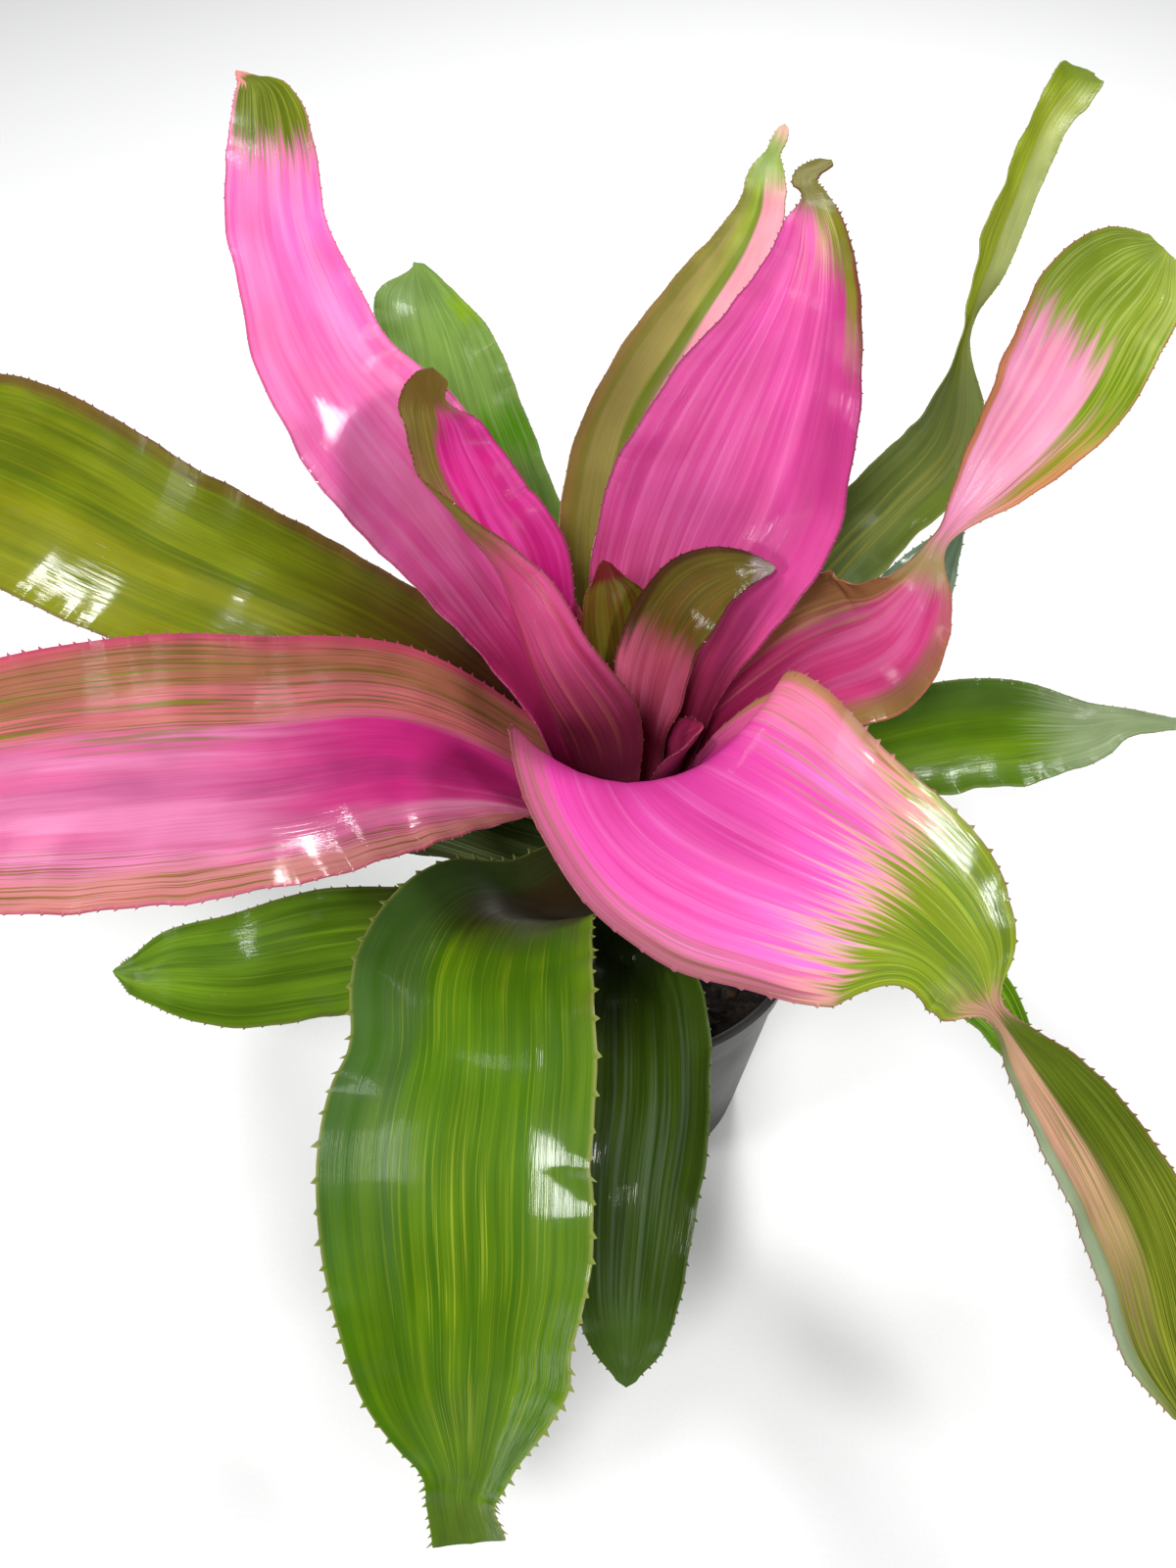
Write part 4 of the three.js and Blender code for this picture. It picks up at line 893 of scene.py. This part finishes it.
def mixMaterial(name, dark, light, speckSize, rough):
    # damp peat and composted bark: nearly black, crumbly, a few brown fibres, dull with moist glints
    material, tree = newMaterial(name)
    place = addNode(tree, "TexCoord").outputs["Object"]
    crumb = addNode(tree, "TexNoise", {"Vector": place, "Scale": 1000 / speckSize, "Detail": 6.0})
    amount = addNode(tree, "MapRange", {"Value": crumb, "From Min": 0.5, "From Max": 0.72})
    colour = addNode(tree, "Mix", {"Factor": amount, "A": dark, "B": light}, data_type="RGBA")
    bump = addNode(tree, "Bump", {"Height": crumb, "Strength": 0.9, "Distance": 0.0008})
    wet = addNode(tree, "MapRange", {0: crumb, 1: 0.35, 2: 0.65, 3: rough - 0.2, 4: rough})
    shader = addNode(tree, "BsdfPrincipled", {
        "Base Color": colour, "Roughness": wet, "Normal": bump, "IOR": 1.4})
    addNode(tree, "OutputMaterial", {"Surface": shader})
    return material


def buildSoil():
    form = soilForm
    top = form["top"]
    bottom = form["bottom"]
    hole = stemRadius(top) + form["gap"]
    outer = potWallInside(top) - form["gap"]
    outline = (
        [(hole, top - form["holeDepth"]), (potWallInside(bottom + 2) * 0.5, bottom)]
        + [(potWallInside(z) - form["gap"] - 1.5 * (z < 6), z) for z in np.linspace(bottom, 90, 10)]
        + [(outer, top - 1)] + [(r, top - 0.6) for r in np.linspace(outer - 1, hole + 1, form["rings"])]
        + [(hole, top - 1), (hole, top - form["holeDepth"])]
    )
    points, faces = turned(outline, form["sides"])
    lumpy = []
    for x, y, z in points:
        if z > (top - 0.9) * mm:
            at = Vector((x, y, 0)) / mm
            lump = noise.fractal(at / 9, 0.8, 2.1, 3) * 0.7 + noise.noise(at / 2.5) * 0.35
            z += form["lumps"] * mm * (lump - 0.4)
        lumpy.append((x, y, z))
    mix = mixMaterial("damp_peat_mix", form["dark"], form["crumb"], form["crumbWide"], 0.85)
    soil = addPiece("pottingMix", lumpy, faces, [mix], "soil", sharp=60)
    merge = bmesh.new()
    merge.from_mesh(soil.data)
    bmesh.ops.remove_doubles(merge, verts=merge.verts, dist=0.00001)
    merge.to_mesh(soil.data)
    merge.free()


def buildChips():
    # bark chips and coarse bits lying on the mix, each a small angular hull
    form = soilForm
    draw = random.Random(7)
    heap = bmesh.new()
    inner = stemRadius(form["top"]) + 4
    outer = potWallInside(form["top"]) - 7
    for i in range(form["chips"]):
        long = draw.uniform(*form["chipLong"]) * (0.5 if i % 3 else 1)
        reach = math.sqrt(draw.uniform(inner ** 2, outer ** 2))
        angle = draw.uniform(0, 2 * math.pi)
        turn = draw.uniform(0, math.pi)
        tilt = draw.uniform(-0.35, 0.35)
        verts = []
        for corner in range(form["chipCorners"]):
            a = draw.uniform(0, 2 * math.pi)
            x = 0.5 * long * math.cos(a) * draw.uniform(0.75, 1)
            y = 0.28 * long * math.sin(a) * draw.uniform(0.7, 1)
            z = draw.uniform(-0.13, 0.13) * long + tilt * x
            px = reach * math.cos(angle) + x * math.cos(turn) - y * math.sin(turn)
            py = reach * math.sin(angle) + x * math.sin(turn) + y * math.cos(turn)
            verts.append(heap.verts.new((px * mm, py * mm, (form["top"] - 0.6 + z + 0.06 * long) * mm)))
        hull = bmesh.ops.convex_hull(heap, input=verts)
        loose = [v for v in hull["geom_interior"] + hull["geom_unused"]
                 if isinstance(v, bmesh.types.BMVert)]
        bmesh.ops.delete(heap, geom=list(set(loose)), context="VERTS")
    heap.verts.index_update()
    points = [tuple(v.co) for v in heap.verts]
    faces = [[v.index for v in face.verts] for face in heap.faces]
    heap.free()
    bark = mixMaterial("composted_bark", form["barkDark"], form["bark"], form["barkGrain"], 0.8)
    addPiece("barkChips", points, faces, [bark], "soil", sharp=25)


def buildStem():
    # short woody stem with a scar ring below each leaf; its ends close in a point's width
    form = stemForm
    outline = [(0.01, form["foot"])]
    height = form["foot"]
    while height < form["top"]:
        for step, deep in ((0.0, 1.0), (0.5, 0.0), (2.4, 0.0), (2.9, 1.0)):
            z = min(height + step, form["top"])
            outline.append((max(stemRadius(z) - deep * form["scarDeep"], 2.5), z))
        height += form["scarEvery"]
    outline.append((0.01, form["top"]))
    points, faces = turned(outline, 64)
    material, tree = newMaterial("bromeliad_stem_skin")
    place = addNode(tree, "TexCoord").outputs["Object"]
    wide = 1000 / form["fibreWide"]
    fibre = addNode(tree, "Mapping", {"Vector": place, "Scale": (wide, wide, 1000 / form["fibreLong"])})
    grain = addNode(tree, "TexNoise", {"Vector": fibre, "Scale": 1.0, "Detail": 3.0})
    colour = addNode(tree, "Mix", {"Factor": grain, "A": form["skin"], "B": form["scar"]},
                     data_type="RGBA")
    bump = addNode(tree, "Bump", {"Height": grain, "Strength": 0.6, "Distance": 0.0003})
    rough = addNode(tree, "MapRange", {"Value": grain, "To Min": 0.5, "To Max": 0.8})
    shader = addNode(tree, "BsdfPrincipled", {
        "Base Color": colour, "Roughness": rough, "Normal": bump, "IOR": 1.45})
    addNode(tree, "OutputMaterial", {"Surface": shader})
    addPiece("leafyStem", points, faces, [material], "stem", sharp=50)


buildPot()
buildSoil()
buildChips()
buildStem()
print("pot, mix, chips and stem built")


# Floor, lights and camera

studio = {
    "floor": "#ececec", "floorFleck": "#e6e6e6", "sky": "#f4f6fa", "skyStrength": 0.2,
    # azimuth and elevation of each softbox, its distance and width in metres, and its power in watts
    "softboxes": {
        "back": (76, 41, 1.5, 0.32, 14), "frontLeft": (-106, 51, 1.5, 0.32, 12),
        "rightFront": (-32, 43, 1.6, 0.36, 12), "left": (160, 52, 1.6, 0.32, 8),
        "leftLow": (-157, 15, 1.6, 0.5, 12),
    },
    "aim": (0, 0, 0.22),
    "camera": (-0.0145, -0.3302, 0.5460), "pitchDown": 48, "photoFocal": 1504.6, "photoHeight": 1600,
}


def buildStudio():
    # uncoated paper sweep: pale, matt, with a faint tooth
    scene = bpy.context.scene
    material, tree = newMaterial("pale_paper_sweep")
    place = addNode(tree, "TexCoord").outputs["Object"]
    tooth = addNode(tree, "TexNoise", {"Vector": place, "Scale": 700.0})
    tone = addNode(tree, "Mix", {"Factor": tooth, "A": studio["floor"], "B": studio["floorFleck"]},
                   data_type="RGBA")
    shader = addNode(tree, "BsdfPrincipled", {"Base Color": tone, "Roughness": 0.8})
    addNode(tree, "OutputMaterial", {"Surface": shader})
    mesh = bpy.data.meshes.new("floor")
    mesh.from_pydata([(-3, -3, 0), (3, -3, 0), (3, 3, 0), (-3, 3, 0)], [], [(0, 1, 2, 3)])
    mesh.materials.append(material)
    floor = bpy.data.objects.new("floor", mesh)
    scene.collection.objects.link(floor)

    world = bpy.data.worlds.new("softRoom")
    scene.world = world
    world.use_nodes = True
    world.node_tree.nodes.clear()
    sky = addNode(world.node_tree, "Background", {
        "Color": studio["sky"], "Strength": studio["skyStrength"]})
    addNode(world.node_tree, "OutputWorld", {"Surface": sky})

    aim = Vector(studio["aim"])
    for name, (azimuth, elevation, reach, width, power) in studio["softboxes"].items():
        turn = math.radians(azimuth)
        rise = math.radians(elevation)
        away = Vector((math.cos(turn) * math.cos(rise), math.sin(turn) * math.cos(rise),
                       math.sin(rise)))
        light = bpy.data.lights.new(name, "AREA")
        light.shape = "DISK"
        light.size = width
        light.energy = power
        lamp = bpy.data.objects.new(name, light)
        lamp.location = aim + away * reach
        lamp.rotation_euler = away.to_track_quat("Z", "Y").to_euler()
        scene.collection.objects.link(lamp)

    lens = bpy.data.cameras.new("photoView")
    lens.sensor_width = 36
    lens.lens = lens.sensor_width * studio["photoFocal"] / studio["photoHeight"]
    camera = bpy.data.objects.new("photoView", lens)
    camera.location = studio["camera"]
    camera.rotation_euler = (math.radians(90 - studio["pitchDown"]), 0, 0)
    scene.collection.objects.link(camera)
    scene.camera = camera
    scene.view_settings.view_transform = "Standard"


buildStudio()
print("floor, lights and camera placed")
